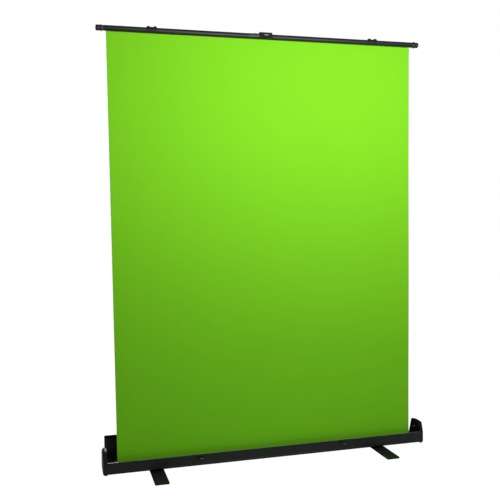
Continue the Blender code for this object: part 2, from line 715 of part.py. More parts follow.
def main():
    clear_scene()
    new_collection(PANEL)
    new_collection("cutters")
    build_tray()
    build_lid()
    build_roller()
    build_cloth()
    build_top_bar()
    build_frame()
    build_gas_spring()
    for side, name in SIDE_NAMES.items():
        build_end_cap(side, name)
        build_foot(side, name)
        build_latch(side, name)


main()
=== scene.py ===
"""Looks of a green backdrop screen that rises out of its floor case on a folding frame.

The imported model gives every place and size. Each sub-assembly is a class that models its
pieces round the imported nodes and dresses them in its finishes. Metres, +Z up, the screen
faces -Y, and the floor is at Z = 0.
"""

import logging
import math
from dataclasses import dataclass
from enum import Enum
from typing import Callable, Sequence

import bmesh
import bpy
from mathutils import Matrix, Vector


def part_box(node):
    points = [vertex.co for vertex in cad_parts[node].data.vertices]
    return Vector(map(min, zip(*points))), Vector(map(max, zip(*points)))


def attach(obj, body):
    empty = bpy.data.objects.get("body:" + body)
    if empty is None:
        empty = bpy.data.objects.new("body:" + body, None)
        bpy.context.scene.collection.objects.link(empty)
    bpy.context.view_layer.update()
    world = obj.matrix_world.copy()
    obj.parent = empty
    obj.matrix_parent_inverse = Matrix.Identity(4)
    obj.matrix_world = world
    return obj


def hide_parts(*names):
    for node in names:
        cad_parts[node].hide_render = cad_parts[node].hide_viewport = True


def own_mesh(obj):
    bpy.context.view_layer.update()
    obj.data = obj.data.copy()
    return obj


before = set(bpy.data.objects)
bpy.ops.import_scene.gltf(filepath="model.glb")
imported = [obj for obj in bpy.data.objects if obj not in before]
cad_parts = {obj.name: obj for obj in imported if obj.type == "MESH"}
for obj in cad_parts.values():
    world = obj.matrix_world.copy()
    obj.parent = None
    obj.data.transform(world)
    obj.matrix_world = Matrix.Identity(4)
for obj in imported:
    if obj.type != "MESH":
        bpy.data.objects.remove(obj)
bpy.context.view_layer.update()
LOG = logging.getLogger("backdrop_screen")

Point = tuple[float, float]
Place = tuple[float, float, float]
SIDES = {-1: "left", 1: "right"}
HINGE = (0.0605, 0.0330)
BAR_RADIUS = 0.0125
PIVOT_HOLE = 0.0044


class Way(Enum):
    """The world axis that a profile or a turned piece runs along."""

    X = 0
    Y = 1
    Z = 2

    @property
    def turn(self) -> Matrix:
        """The turn that takes a flat outline's own axes to the world.

        Returns:
            The turn.
        """
        rows = {
            Way.X: ((0, 0, 1), (1, 0, 0), (0, 1, 0)),
            Way.Y: ((1, 0, 0), (0, 0, -1), (0, 1, 0)),
            Way.Z: ((1, 0, 0), (0, 1, 0), (0, 0, 1)),
        }
        return Matrix(rows[self])

    def factors(self, along: float, across: float) -> list[float]:
        """One number along the axis and another across it."""
        return [along if index == self.value else across for index in range(3)]

    @property
    def unit(self) -> Vector:
        """The axis as a unit vector."""
        return Vector(self.factors(1.0, 0.0))


def middle(node: str) -> Vector:
    """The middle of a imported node's box."""
    low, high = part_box(node)
    return (Vector(low) + Vector(high)) / 2


def extent(node: str) -> Vector:
    """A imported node's size along each axis."""
    low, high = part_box(node)
    return Vector(high) - Vector(low)


def arc(centre: Point, radius: float, start: float, end: float, steps: int) -> list[Point]:
    """Points along an arc, both ends included.

    Args:
        centre: The arc's centre.
        radius: Its radius.
        start: The first point's direction in degrees.
        end: The last point's direction in degrees.
        steps: How many chords the arc has.

    Returns:
        The points, in order.
    """
    angles = [math.radians(start + (end - start) * i / steps) for i in range(steps + 1)]
    return [(centre[0] + radius * math.cos(t), centre[1] + radius * math.sin(t)) for t in angles]


def circle(centre: Point, radius: float, sides: int = 24) -> list[Point]:
    """A closed circle's points."""
    return arc(centre, radius, 0, 360 * (sides - 1) / sides, sides - 1)


def oblong(left: float, bottom: float, right: float, top: float) -> list[Point]:
    """A rectangle's corners."""
    return [(left, bottom), (right, bottom), (right, top), (left, top)]


def rounded(corner: Sequence[Point], reach: float, limit: float, steps: int) -> list[Point]:
    """One corner of a path, rounded.

    Args:
        corner: The point before it, the corner, and the point after it.
        reach: How far from the corner the rounding starts.
        limit: The most of an edge that it may take.
        steps: Chords in the rounding.

    Returns:
        The corner's points.
    """
    before, here, after = (Vector(point) for point in corner)
    reach = min(reach, limit * (before - here).length, limit * (after - here).length)
    start, end = (here + (other - here).normalized() * reach for other in (before, after))
    shares = [step / steps for step in range(steps + 1)]
    return [tuple(start.lerp(here, t).lerp(here.lerp(end, t), t)) for t in shares]


def filleted(corners: Sequence[Point], radius: float, steps: int = 5) -> list[Point]:
    """A closed outline with every corner rounded.

    Args:
        corners: The outline's corners, in order.
        radius: The fillet, made smaller where an edge is too short for it.
        steps: Chords per fillet.

    Returns:
        The rounded outline.
    """
    outline: list[Point] = []
    for index, here in enumerate(corners):
        before, after = corners[index - 1], corners[(index + 1) % len(corners)]
        half = (Vector(before) - Vector(here)).angle(Vector(after) - Vector(here)) / 2
        outline += rounded((before, here, after), radius / math.tan(half), 0.48, steps)
    return outline


class Piece:
    """One mesh on the bench, shaped by Blender's own operators."""

    def __init__(self, name: str) -> None:
        """Takes up the object that an operator has just added, and puts its place in its mesh.

        Args:
            name: The piece's name.
        """
        self.obj: bpy.types.Object = bpy.context.object
        self.obj.name = self.obj.data.name = name
        bpy.ops.object.transform_apply(location=True, rotation=True, scale=True)

    @staticmethod
    def clear_bench() -> None:
        """Leaves edit mode and deselects everything."""
        if bpy.context.object and bpy.context.object.mode != "OBJECT":
            bpy.ops.object.mode_set(mode="OBJECT")
        bpy.ops.object.select_all(action="DESELECT")

    @classmethod
    def put_up(cls, obj: bpy.types.Object) -> None:
        """Makes an object the only one on the bench.

        Args:
            obj: The object.
        """
        cls.clear_bench()
        obj.select_set(True)
        bpy.context.view_layer.objects.active = obj

    @classmethod
    def box(cls, name: str, low: Place, high: Place) -> "Piece":
        """A cube added at its size and place, from its lowest to its highest corner.

        Args:
            name: The piece's name.
            low: Its lowest corner.
            high: Its highest corner.

        Returns:
            The new piece.
        """
        cls.clear_bench()
        size, centre = Vector(high) - Vector(low), (Vector(high) + Vector(low)) / 2
        bpy.ops.mesh.primitive_cube_add(size=1, location=centre, scale=size)
        return cls(name)

    @classmethod
    def profile(
        cls,
        name: str,
        outline: Sequence[Point],
        way: Way,
        low: float,
        high: float,
        holes: Sequence[Sequence[Point]] = (),
    ) -> "Piece":
        """A ring of points laid on a flat outline, filled, and extruded to its length.

        Args:
            name: The piece's name.
            outline: The closed outline.
            way: The axis that the length runs along.
            low: Where it starts on that axis.
            high: Where it ends.
            holes: Closed outlines that are cut right through.

        Returns:
            The new piece.
        """
        cls.clear_bench()
        bpy.ops.mesh.primitive_circle_add(vertices=len(outline), radius=1.0, fill_type="NGON")
        piece = cls(name)
        for vertex, (across, up) in zip(piece.obj.data.vertices, outline):
            vertex.co = way.turn @ Vector((across, up, 0)) + way.unit * low
        piece.edit()
        bpy.ops.mesh.select_all(action="SELECT")
        bpy.ops.mesh.extrude_region_move(TRANSFORM_OT_translate={"value": way.unit * (high - low)})
        piece.all_outward()
        margin = 0.5 * (high - low)
        for hole in holes:
            piece.cut_by(cls.profile("hole", hole, way, low - margin, high + margin))
        return piece

    @classmethod
    def turned(
        cls,
        name: str,
        profile: Sequence[Point],
        way: Way,
        place: Place,
        sides: int = 32,
        hollow: bool = False,
        flip: bool = False,
    ) -> "Piece":
        """A ring extruded and resized through (radius, height) steps.

        Args:
            name: The piece's name.
            profile: The steps, each with a radius above zero.
            way: The axis.
            place: The point that heights are counted from.
            sides: Sides of the ring.
            hollow: True if the profile closes on itself round a bore.
            flip: True if heights run against the axis.

        Returns:
            The new piece.
        """
        cls.clear_bench()
        up = way.unit * (-1 if flip else 1)
        steps = [*profile, profile[0]] if hollow else list(profile)
        spin = {Way.X: (0, math.pi / 2, 0), Way.Y: (math.pi / 2, 0, 0), Way.Z: (0, 0, 0)}[way]
        start = Vector(place) + up * steps[0][1]
        bpy.ops.mesh.primitive_circle_add(vertices=sides, radius=steps[0][0], location=start, rotation=spin)
        piece = cls(name)
        bpy.ops.object.mode_set(mode="EDIT")
        bpy.ops.mesh.select_all(action="SELECT")
        if not hollow:
            bpy.ops.mesh.edge_face_add()
            piece.pick_edges(lambda a, b: True)
        for (radius_before, height_before), (radius, height) in zip(steps, steps[1:]):
            bpy.ops.mesh.extrude_edges_move(TRANSFORM_OT_translate={"value": up * (height - height_before)})
            factors = way.factors(1.0, radius / radius_before)
            bpy.ops.transform.resize(value=factors, center_override=Vector(place) + up * height)
        if not hollow:
            bpy.ops.mesh.edge_face_add()
        bpy.ops.mesh.select_all(action="SELECT")
        return piece.weld().all_outward()

    @classmethod
    def bent_rod(cls, name: str, route: Sequence[Place], radius: float) -> "Piece":
        """A round rod along a route, with filled ends.

        Args:
            name: The piece's name.
            route: The points that its middle follows.
            radius: Its radius.

        Returns:
            The new piece.
        """
        curve = bpy.data.curves.new(name, "CURVE")
        curve.dimensions, curve.bevel_depth, curve.bevel_resolution = "3D", radius, 6
        curve.use_fill_caps = True
        spline = curve.splines.new("POLY")
        spline.points.add(len(route) - 1)
        for point, place in zip(spline.points, route):
            point.co = (*place, 1)
        obj = bpy.data.objects.new(name, curve)
        bpy.context.scene.collection.objects.link(obj)
        cls.put_up(obj)
        bpy.ops.object.convert(target="MESH")
        return cls(name).weld().all_outward()

    def edit(self) -> bmesh.types.BMesh:
        """Opens the piece in edit mode, on the bench by itself, and gives its edit mesh.

        Returns:
            The edit mesh.
        """
        if self.obj.mode != "EDIT":
            self.put_up(self.obj)
            bpy.ops.object.mode_set(mode="EDIT")
        return bmesh.from_edit_mesh(self.obj.data)

    def nothing_picked(self, kind: str) -> bmesh.types.BMesh:
        """Deselects everything and gives the edit mesh.

        Args:
            kind: What is picked next, "FACE" or "EDGE".

        Returns:
            The edit mesh.
        """
        self.edit()
        bpy.ops.mesh.select_mode(type=kind)
        bpy.ops.mesh.select_all(action="DESELECT")
        return self.edit()

    def pick_faces(self, test: Callable[[Vector, Vector], bool]) -> "Piece":
        """Selects the faces whose middle and normal pass the test.

        Args:
            test: Says yes or no to a middle and a normal.

        Returns:
            The piece itself.
        """
        for face in self.nothing_picked("FACE").faces:
            face.select_set(bool(test(face.calc_center_median(), face.normal)))
        bmesh.update_edit_mesh(self.obj.data)
        return self

    def pick_edges(self, test: Callable[[Vector, Vector], bool]) -> "Piece":
        """Selects the edges whose two ends pass the test.

        Args:
            test: Says yes or no to two ends.

        Returns:
            The piece itself.
        """
        for edge in self.nothing_picked("EDGE").edges:
            edge.select_set(bool(test(edge.verts[0].co, edge.verts[1].co)))
        bmesh.update_edit_mesh(self.obj.data)
        return self

    def weld(self) -> "Piece":
        """Merges doubled points and joins flat neighbours into whole faces.

        Returns:
            The piece itself.
        """
        self.edit()
        bpy.ops.mesh.select_all(action="SELECT")
        bpy.ops.mesh.remove_doubles(threshold=2e-6)
        bpy.ops.mesh.dissolve_limited(angle_limit=math.radians(0.05))
        return self

    def all_outward(self) -> "Piece":
        """Turns every face outwards and leaves edit mode.

        Returns:
            The piece itself.
        """
        self.edit()
        bpy.ops.mesh.select_all(action="SELECT")
        bpy.ops.mesh.normals_make_consistent(inside=False)
        bpy.ops.object.mode_set(mode="OBJECT")
        return self

    def extrude(self, move: Place, scale: Place, centre: Place) -> "Piece":
        """Extrudes what is selected by a move and resizes it about a centre.

        Args:
            move: How far it goes.
            scale: The factor along each axis.
            centre: What it is resized about.

        Returns:
            The piece itself.
        """
        bpy.ops.mesh.extrude_region_move(TRANSFORM_OT_translate={"value": move})
        bpy.ops.transform.resize(value=scale, center_override=centre)
        return self

    def inset(self, thickness: float, depth: float = 0.0) -> "Piece":
        """Insets the selected faces."""
        bpy.ops.mesh.inset(thickness=thickness, depth=depth)
        return self

    def bevel_selected(self, width: float, segments: int = 3) -> "Piece":
        """Bevels the selected edges."""
        bpy.ops.mesh.bevel(offset=width, segments=segments, affect="EDGES", clamp_overlap=True)
        return self

    def modify(self, kind: str, **settings: object) -> "Piece":
        """Adds a modifier and applies it.

        Args:
            kind: The modifier's type.
            settings: Its settings.

        Returns:
            The piece itself.
        """
        self.put_up(self.obj)
        modifier = self.obj.modifiers.new(kind.lower(), kind)
        for name, value in settings.items():
            setattr(modifier, name, value)
        bpy.ops.object.modifier_apply(modifier=modifier.name)
        return self

    def round_edges(self, width: float, segments: int = 2, angle: float = 50.0) -> "Piece":
        """Rounds every edge sharper than the angle."""
        limit = math.radians(angle)
        return self.modify("BEVEL", width=width, segments=segments, limit_method="ANGLE", angle_limit=limit)

    def cut_by(self, tool: "Piece", operation: str = "DIFFERENCE") -> "Piece":
        """Cuts the piece by a tool, or joins the two with "UNION", and removes the tool.

        Args:
            tool: The other piece.
            operation: "DIFFERENCE" or "UNION".

        Returns:
            The piece itself.
        """
        self.modify("BOOLEAN", operation=operation, object=tool.obj)
        bpy.data.objects.remove(tool.obj, do_unlink=True)
        return self

    def dressed(self, finish: "Finish", body: str, nodes: Sequence[str] = (), angle: float = 35.0) -> "Piece":
        """Shades the piece, gives it its finish and lets it ride on its body.

        Args:
            finish: What it is made of.
            body: The body that carries it.
            nodes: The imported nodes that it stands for.
            angle: Edges sharper than this stay sharp.

        Returns:
            The piece itself.
        """
        self.put_up(self.obj)
        bpy.ops.object.shade_smooth_by_angle(angle=math.radians(angle))
        self.obj.data.materials.clear()
        self.obj.data.materials.append(finish.material())
        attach(self.obj, body)
        if nodes:
            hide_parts(*nodes)
        LOG.info("%s on %s, %d faces", self.obj.name, body, len(self.obj.data.polygons))
        return self

    def both_dressed(self, finish: "Finish", body: str, stem: str, angle: float = 35.0) -> None:
        """Dresses this right-hand piece and a left-hand twin mirrored across the case.

        Args:
            finish: What both are made of.
            body: The body that carries them.
            stem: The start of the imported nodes' names, before "_right" and "_left".
            angle: Edges sharper than this stay sharp.
        """
        twin = self.obj.copy()
        twin.data = self.obj.data.copy()
        bpy.context.scene.collection.objects.link(twin)
        twin.data.transform(Matrix.Scale(-1, 4, (1, 0, 0)))
        self.put_up(twin)
        left = Piece(self.obj.name.replace("right", "left")).all_outward()
        self.dressed(finish, body, [f"{stem}_right"], angle)
        left.dressed(finish, body, [f"{stem}_left"], angle)


class Wire:
    """A shader socket whose arithmetic adds Math nodes."""

    def __init__(self, graph: "Graph", socket: bpy.types.NodeSocket) -> None:
        """Wraps an output socket."""
        self.graph, self.socket = graph, socket

    def _with(self, operation: str, first: "Wire | float", second: "Wire | float") -> "Wire":
        """One Math node on two values."""
        return self.graph.node("ShaderNodeMath", {"operation": operation}, {0: first, 1: second})

    def __add__(self, other: "Wire | float") -> "Wire":
        """This plus another."""
        return self._with("ADD", self, other)

    __radd__ = __add__

    def __sub__(self, other: "Wire | float") -> "Wire":
        """This minus another."""
        return self._with("SUBTRACT", self, other)

    def __rsub__(self, other: "Wire | float") -> "Wire":
        """Another minus this."""
        return self._with("SUBTRACT", other, self)

    def __mul__(self, other: "Wire | float") -> "Wire":
        """This times another."""
        return self._with("MULTIPLY", self, other)

    __rmul__ = __mul__

    def __gt__(self, other: "Wire | float") -> "Wire":
        """One where this is the greater, else zero."""
        return self._with("GREATER_THAN", self, other)

    def sine(self) -> "Wire":
        """The sine of this, in radians."""
        return self._with("SINE", self, 0.0)

    def size(self) -> "Wire":
        """This without its sign."""
        return self._with("ABSOLUTE", self, 0.0)

    def held(self) -> "Wire":
        """This kept from zero to one."""
        return self.graph.node("ShaderNodeClamp", {}, {"Value": self})


class Graph:
    """The node tree of one material."""

    def __init__(self, name: str) -> None:
        """Starts a material that holds one Principled shader.

        Args:
            name: The material's name.
        """
        self.material = bpy.data.materials.new(name)
        self.material.use_nodes = True
        self.tree = self.material.node_tree
        self.shader = self.tree.nodes["Principled BSDF"]

    def node(
        self, kind: str, settings: dict[str, object], inputs: dict[str | int, object], output: str | int = 0
    ) -> Wire:
        """Adds a node, sets it up and joins its inputs.

        Args:
            kind: The node's type.
            settings: Its properties.
            inputs: Values or wires for its sockets, by name or number.
            output: The socket that is handed back.

        Returns:
            The output as a wire.
        """
        node = self.tree.nodes.new(kind)
        for name, value in settings.items():
            setattr(node, name, value)
        for key, value in inputs.items():
            if isinstance(value, Wire):
                self.tree.links.new(value.socket, node.inputs[key])
            else:
                node.inputs[key].default_value = value
        return Wire(self, node.outputs[output])

    def fix(self, **values: object) -> None:
        """Sets sockets that are the same all over, underscores standing for spaces."""
        for name, value in values.items():
            self.shader.inputs[name.replace("_", " ")].default_value = value

    def feed(self, socket: str, wire: Wire) -> None:
        """Joins a wire to one of the shader's sockets."""
        self.tree.links.new(wire.socket, self.shader.inputs[socket])

    def noise(
        self, scale: float, detail: float = 3.0, rough: float = 0.55, stretch: Sequence[float] = (1, 1, 1)
    ) -> Wire:
        """Fractal noise from zero to one on the point's own place, stretched.

        Args:
            scale: How fine it is.
            detail: How many octaves it has.
            rough: How strong the finer ones are.
            stretch: The factor along each axis.

        Returns:
            The noise.
        """
        here = self.node("ShaderNodeTexCoord", {}, {}, "Object")
        place = self.node("ShaderNodeMapping", {}, {"Vector": here, "Scale": tuple(stretch)})
        sockets = {"Vector": place, "Scale": scale, "Detail": detail, "Roughness": rough}
        return self.node("ShaderNodeTexNoise", {}, sockets)

    def mix(self, share: Wire, first: "Wire | Sequence[float]", second: Sequence[float]) -> Wire:
        """A colour that goes from the first to the second with the share."""
        start = first if isinstance(first, Wire) else (*first, 1.0)
        return self.node("ShaderNodeMix", {"data_type": "RGBA"}, {0: share, 6: start, 7: (*second, 1.0)}, 2)

    def bump(self, height: Wire, distance: float, strength: float = 1.0) -> None:
        """Feeds the shader a bumped normal."""
        sockets = {"Height": height, "Distance": distance, "Strength": strength}
        self.feed("Normal", self.node("ShaderNodeBump", {}, sockets))

    def edge(self, radius: float) -> Wire:
        """About one along convex and concave edges, else zero.

        Args:
            radius: How far from the edge it reaches.

        Returns:
            The share.
        """
        soft = self.node("ShaderNodeBevel", {"samples": 4}, {"Radius": radius})
        flat = self.node("ShaderNodeNewGeometry", {}, {}, "Normal")
        product = {"operation": "DOT_PRODUCT"}
        likeness = self.node("ShaderNodeVectorMath", product, {0: soft, 1: flat}, "Value")
        return ((1.0 - likeness) * 6.0).held()


@dataclass(frozen=True)
class Finish:
    """What a piece is made of. Subclasses draw the material."""

    name: str
    slot: str
    colour: Place

    def material(self) -> bpy.types.Material:
        """The finish's material, made on first use."""
        found = bpy.data.materials.get(self.name)
        return found or self.draw(Graph(self.name)).material

    def draw(self, graph: Graph) -> Graph:
        """Draws the material's nodes."""
        raise NotImplementedError

    def put_on(self, node: str) -> None:
        """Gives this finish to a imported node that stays.

        Args:
            node: The node's name.
        """
        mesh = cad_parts[node].data
        if not mesh.materials:
            mesh.materials.append(self.material())
        for index in range(len(mesh.materials)):
            mesh.materials[index] = self.material()
        LOG.info("%s dressed in %s", node, self.name)

    def clouded(self, graph: Graph, cloud: Wire, spread: float) -> Wire:
        """The colour, darker and lighter by a share where a cloud says.

        Args:
            graph: The material's graph.
            cloud: Zero where it is darkest, one where it is lightest.
            spread: The share.

        Returns:
            The colour.
        """
        darker = [part * (1 - spread) for part in self.colour]
        return graph.mix(cloud, darker, [min(1.0, part * (1 + spread)) for part in self.colour])


@dataclass(frozen=True)
class Anodised(Finish):
    """Extruded aluminium, with faint lines along its length and brighter edges."""

    roughness: float = 0.40
    metallic: float = 0.75
    along: Way = Way.X

    def draw(self, graph: Graph) -> Graph:
        """Draws die lines, a soft mottle and edges where the coat has thinned.

        Args:
            graph: The material's graph.

        Returns:
            The same graph.
        """
        lines = graph.noise(9.0, 4.0, 0.6, self.along.factors(1.0, 60.0))
        mottle = graph.noise(14.0, 4.0)
        worn = graph.edge(0.0006) * graph.noise(45.0)
        bare = [part * 3.0 + 0.02 for part in self.colour]
        graph.feed("Base Color", graph.mix(worn * 0.55, self.clouded(graph, mottle, 0.25), bare))
        graph.feed("Roughness", (self.roughness - 0.08 + lines * 0.10 + mottle * 0.06 - worn * 0.08).held())
        graph.bump(lines + mottle * 0.3, 0.00006)
        graph.fix(Metallic=self.metallic)
        return graph


@dataclass(frozen=True)
class PowderCoat(Finish):
    """Powder-coated steel, with a fine orange peel."""

    roughness: float = 0.48

    def draw(self, graph: Graph) -> Graph:
        """Draws the peel, a faint dust and rubbed edges.

        Args:
            graph: The material's graph.

        Returns:
            The same graph.
        """
        dust = graph.noise(18.0, 5.0, 0.65)
        worn = graph.edge(0.0007) * graph.noise(60.0) * 0.6
        rubbed = [part + 0.05 for part in self.colour]
        graph.feed("Base Color", graph.mix(worn, self.clouded(graph, dust, 0.20), rubbed))
        graph.feed("Roughness", (self.roughness - 0.05 + dust * 0.12).held())
        graph.bump(graph.noise(900.0, 2.0), 0.00012, 0.6)
        graph.fix(Metallic=0.0, Specular_IOR_Level=0.35)
        return graph


@dataclass(frozen=True)
class Steel(Finish):
    """Plated or ground steel."""

    roughness: float = 0.28
    metallic: float = 0.85

    def draw(self, graph: Graph) -> Graph:
        """Draws grinding lines and a cloudy plating.

        Args:
            graph: The material's graph.

        Returns:
            The same graph.
        """
        lines = graph.noise(60.0, 4.0, 0.6, Way.X.factors(1.0, 25.0))
        cloud = graph.noise(70.0, 4.0)
        graph.feed("Base Color", self.clouded(graph, cloud, 0.12))
        graph.feed("Roughness", (self.roughness - 0.06 + lines * 0.08 + cloud * 0.08).held())
        graph.bump(lines, 0.00003)
        graph.fix(Metallic=self.metallic)
        return graph


@dataclass(frozen=True)
class Moulded(Finish):
    """Injection-moulded plastic with a spark-eroded grain."""

    roughness: float = 0.50
    grain: float = 1400.0
    depth: float = 0.00010
    specular: float = 0.50

    def draw(self, graph: Graph) -> Graph:
        """Draws the grain, handling marks and paler edges.

        Args:
            graph: The material's graph.

        Returns:
            The same graph.
        """
        marks = graph.noise(24.0, 5.0, 0.7)
        worn = graph.edge(0.0006) * graph.noise(80.0) * 0.5
        pale = [part + 0.03 for part in self.colour]
        graph.feed("Base Color", graph.mix(worn, self.clouded(graph, marks, 0.22), pale))
        graph.feed("Roughness", (self.roughness - 0.06 + marks * 0.14).held())
        graph.bump(graph.noise(self.grain, 2.0), self.depth)
        graph.fix(Metallic=0.0, Specular_IOR_Level=self.specular)
        return graph


@dataclass(frozen=True)
class ScreenCloth(Finish):
    """Plain-woven green polyester, matt, with a fine even weave and pressed side edges."""

    thread: float = 0.0009
    hem: float = 0.006
    crease: float = 0.0012
    width: float = 1.48
    height: float = 1.9655

    def draw(self, graph: Graph) -> Graph:
        """Draws warp and weft on the sheet's own map, and the pressed edges.

        Args:
            graph: The material's graph.

        Returns:
            The same graph.
        """
        on_map = graph.node("ShaderNodeUVMap", {"uv_map": "weave"}, {})
        across = graph.node("ShaderNodeSeparateXYZ", {}, {0: on_map}, 0) * self.width
        up = graph.node("ShaderNodeSeparateXYZ", {}, {0: on_map}, 1) * self.height
        beat = math.pi / self.thread
        warp, weft = (across * beat).sine() * 0.5 + 0.5, (up * beat).sine() * 0.5 + 0.5
        over = ((across * (beat / 2)).sine() * (up * (beat / 2)).sine()) > 0.0
        weave = warp * over + weft * (1.0 - over)
        slub = graph.noise(30.0, 3.0, 0.55, (1, 1, 40))
        cloud = graph.noise(3.0)
        side = (across - self.width / 2).size()
        inside = self.width / 2 - self.hem
        hem = side > inside
        crease = hem - (side > (inside + self.crease))
        shade = (weave * 0.25 + slub * 0.35 + cloud * 0.4 + crease * 0.9 - hem * 0.5).held()
        graph.feed("Base Color", self.clouded(graph, shade, 0.06))
        graph.feed("Roughness", (0.80 + slub * 0.15).held())
        graph.bump(weave + slub * 0.3 - crease * 2.0, 0.00012, 0.5)
        graph.fix(Sheen_Weight=0.03, Sheen_Roughness=0.5, Specular_IOR_Level=0.25)
        return graph


BLACK = Anodised("black_anodised_extrusion", "black_anodised", (0.0195, 0.0195, 0.0190), 0.42, 0.35)
BLACK_ARM = Anodised("black_anodised_arm", "black_anodised", (0.0150, 0.0150, 0.0155), 0.40, 0.75, Way.Z)
# Lighter grey on the bar's front band: painted highlight where light falls across the bar.
FRONT_HIGHLIGHT_GREY = Anodised("grey_painted_highlight_band", "dark_grey_anodised", (0.044, 0.048, 0.053), 0.46, 0.80)
GREY_TUBE = Anodised("grey_anodised_tube", "dark_grey_anodised", (0.30, 0.31, 0.32), 0.35, 0.9)
LATCH_PAINT = PowderCoat("latch_powder_coat", "painted_steel", (0.0070, 0.0070, 0.0070), 0.62)
PAINT = PowderCoat("black_powder_coat", "painted_steel", (0.0125, 0.0130, 0.0125))
ZINC = Steel("zinc_plated_steel", "bare_steel", (0.60, 0.60, 0.59))
CHROME = Steel("chromed_rod", "bare_steel", (0.78, 0.78, 0.79), 0.12, 1.0)
# Light metal on the lip's top: painted highlight along the lip's edge, and also a real metallic reflection.
LIP_HIGHLIGHT_METAL = Steel("lip_painted_highlight_metal", "bare_steel", (0.66, 0.66, 0.66), 0.30, 0.90)
BARREL = Steel("dull_zinc_barrel", "bare_steel", (0.20, 0.20, 0.20), 0.40)
CAP_PLASTIC = Moulded(
    "black_cap_plastic", "black_plastic", (0.0115, 0.0115, 0.0120), 0.40, 1100.0, 0.00006, 0.32
)
PLASTIC = Moulded("black_moulded_plastic", "black_plastic", (0.0105, 0.0105, 0.0110))
GRIP = Moulded("soft_black_grip", "black_plastic", (0.0070, 0.0070, 0.0070), 0.68, 900.0, 0.00018, 0.20)
DARK_PLASTIC = Moulded(
    "matt_black_plastic", "black_plastic", (0.0080, 0.0080, 0.0085), 0.58, 1200.0, 0.00010, 0.30
)
SLEEVE = Moulded("grey_ribbed_sleeve", "black_plastic", (0.050, 0.052, 0.054), 0.50, 500.0, 0.00020)
PALE_BADGE = Moulded("pale_blank_badge", "black_plastic", (0.19, 0.19, 0.20), 0.45)
RUBBER = Moulded("foot_rubber", "rubber", (0.0100, 0.0100, 0.0100), 0.82, 700.0, 0.00020)
CLOTH = ScreenCloth("green_screen_cloth", "green_cloth", (0.190, 0.610, 0.0085))


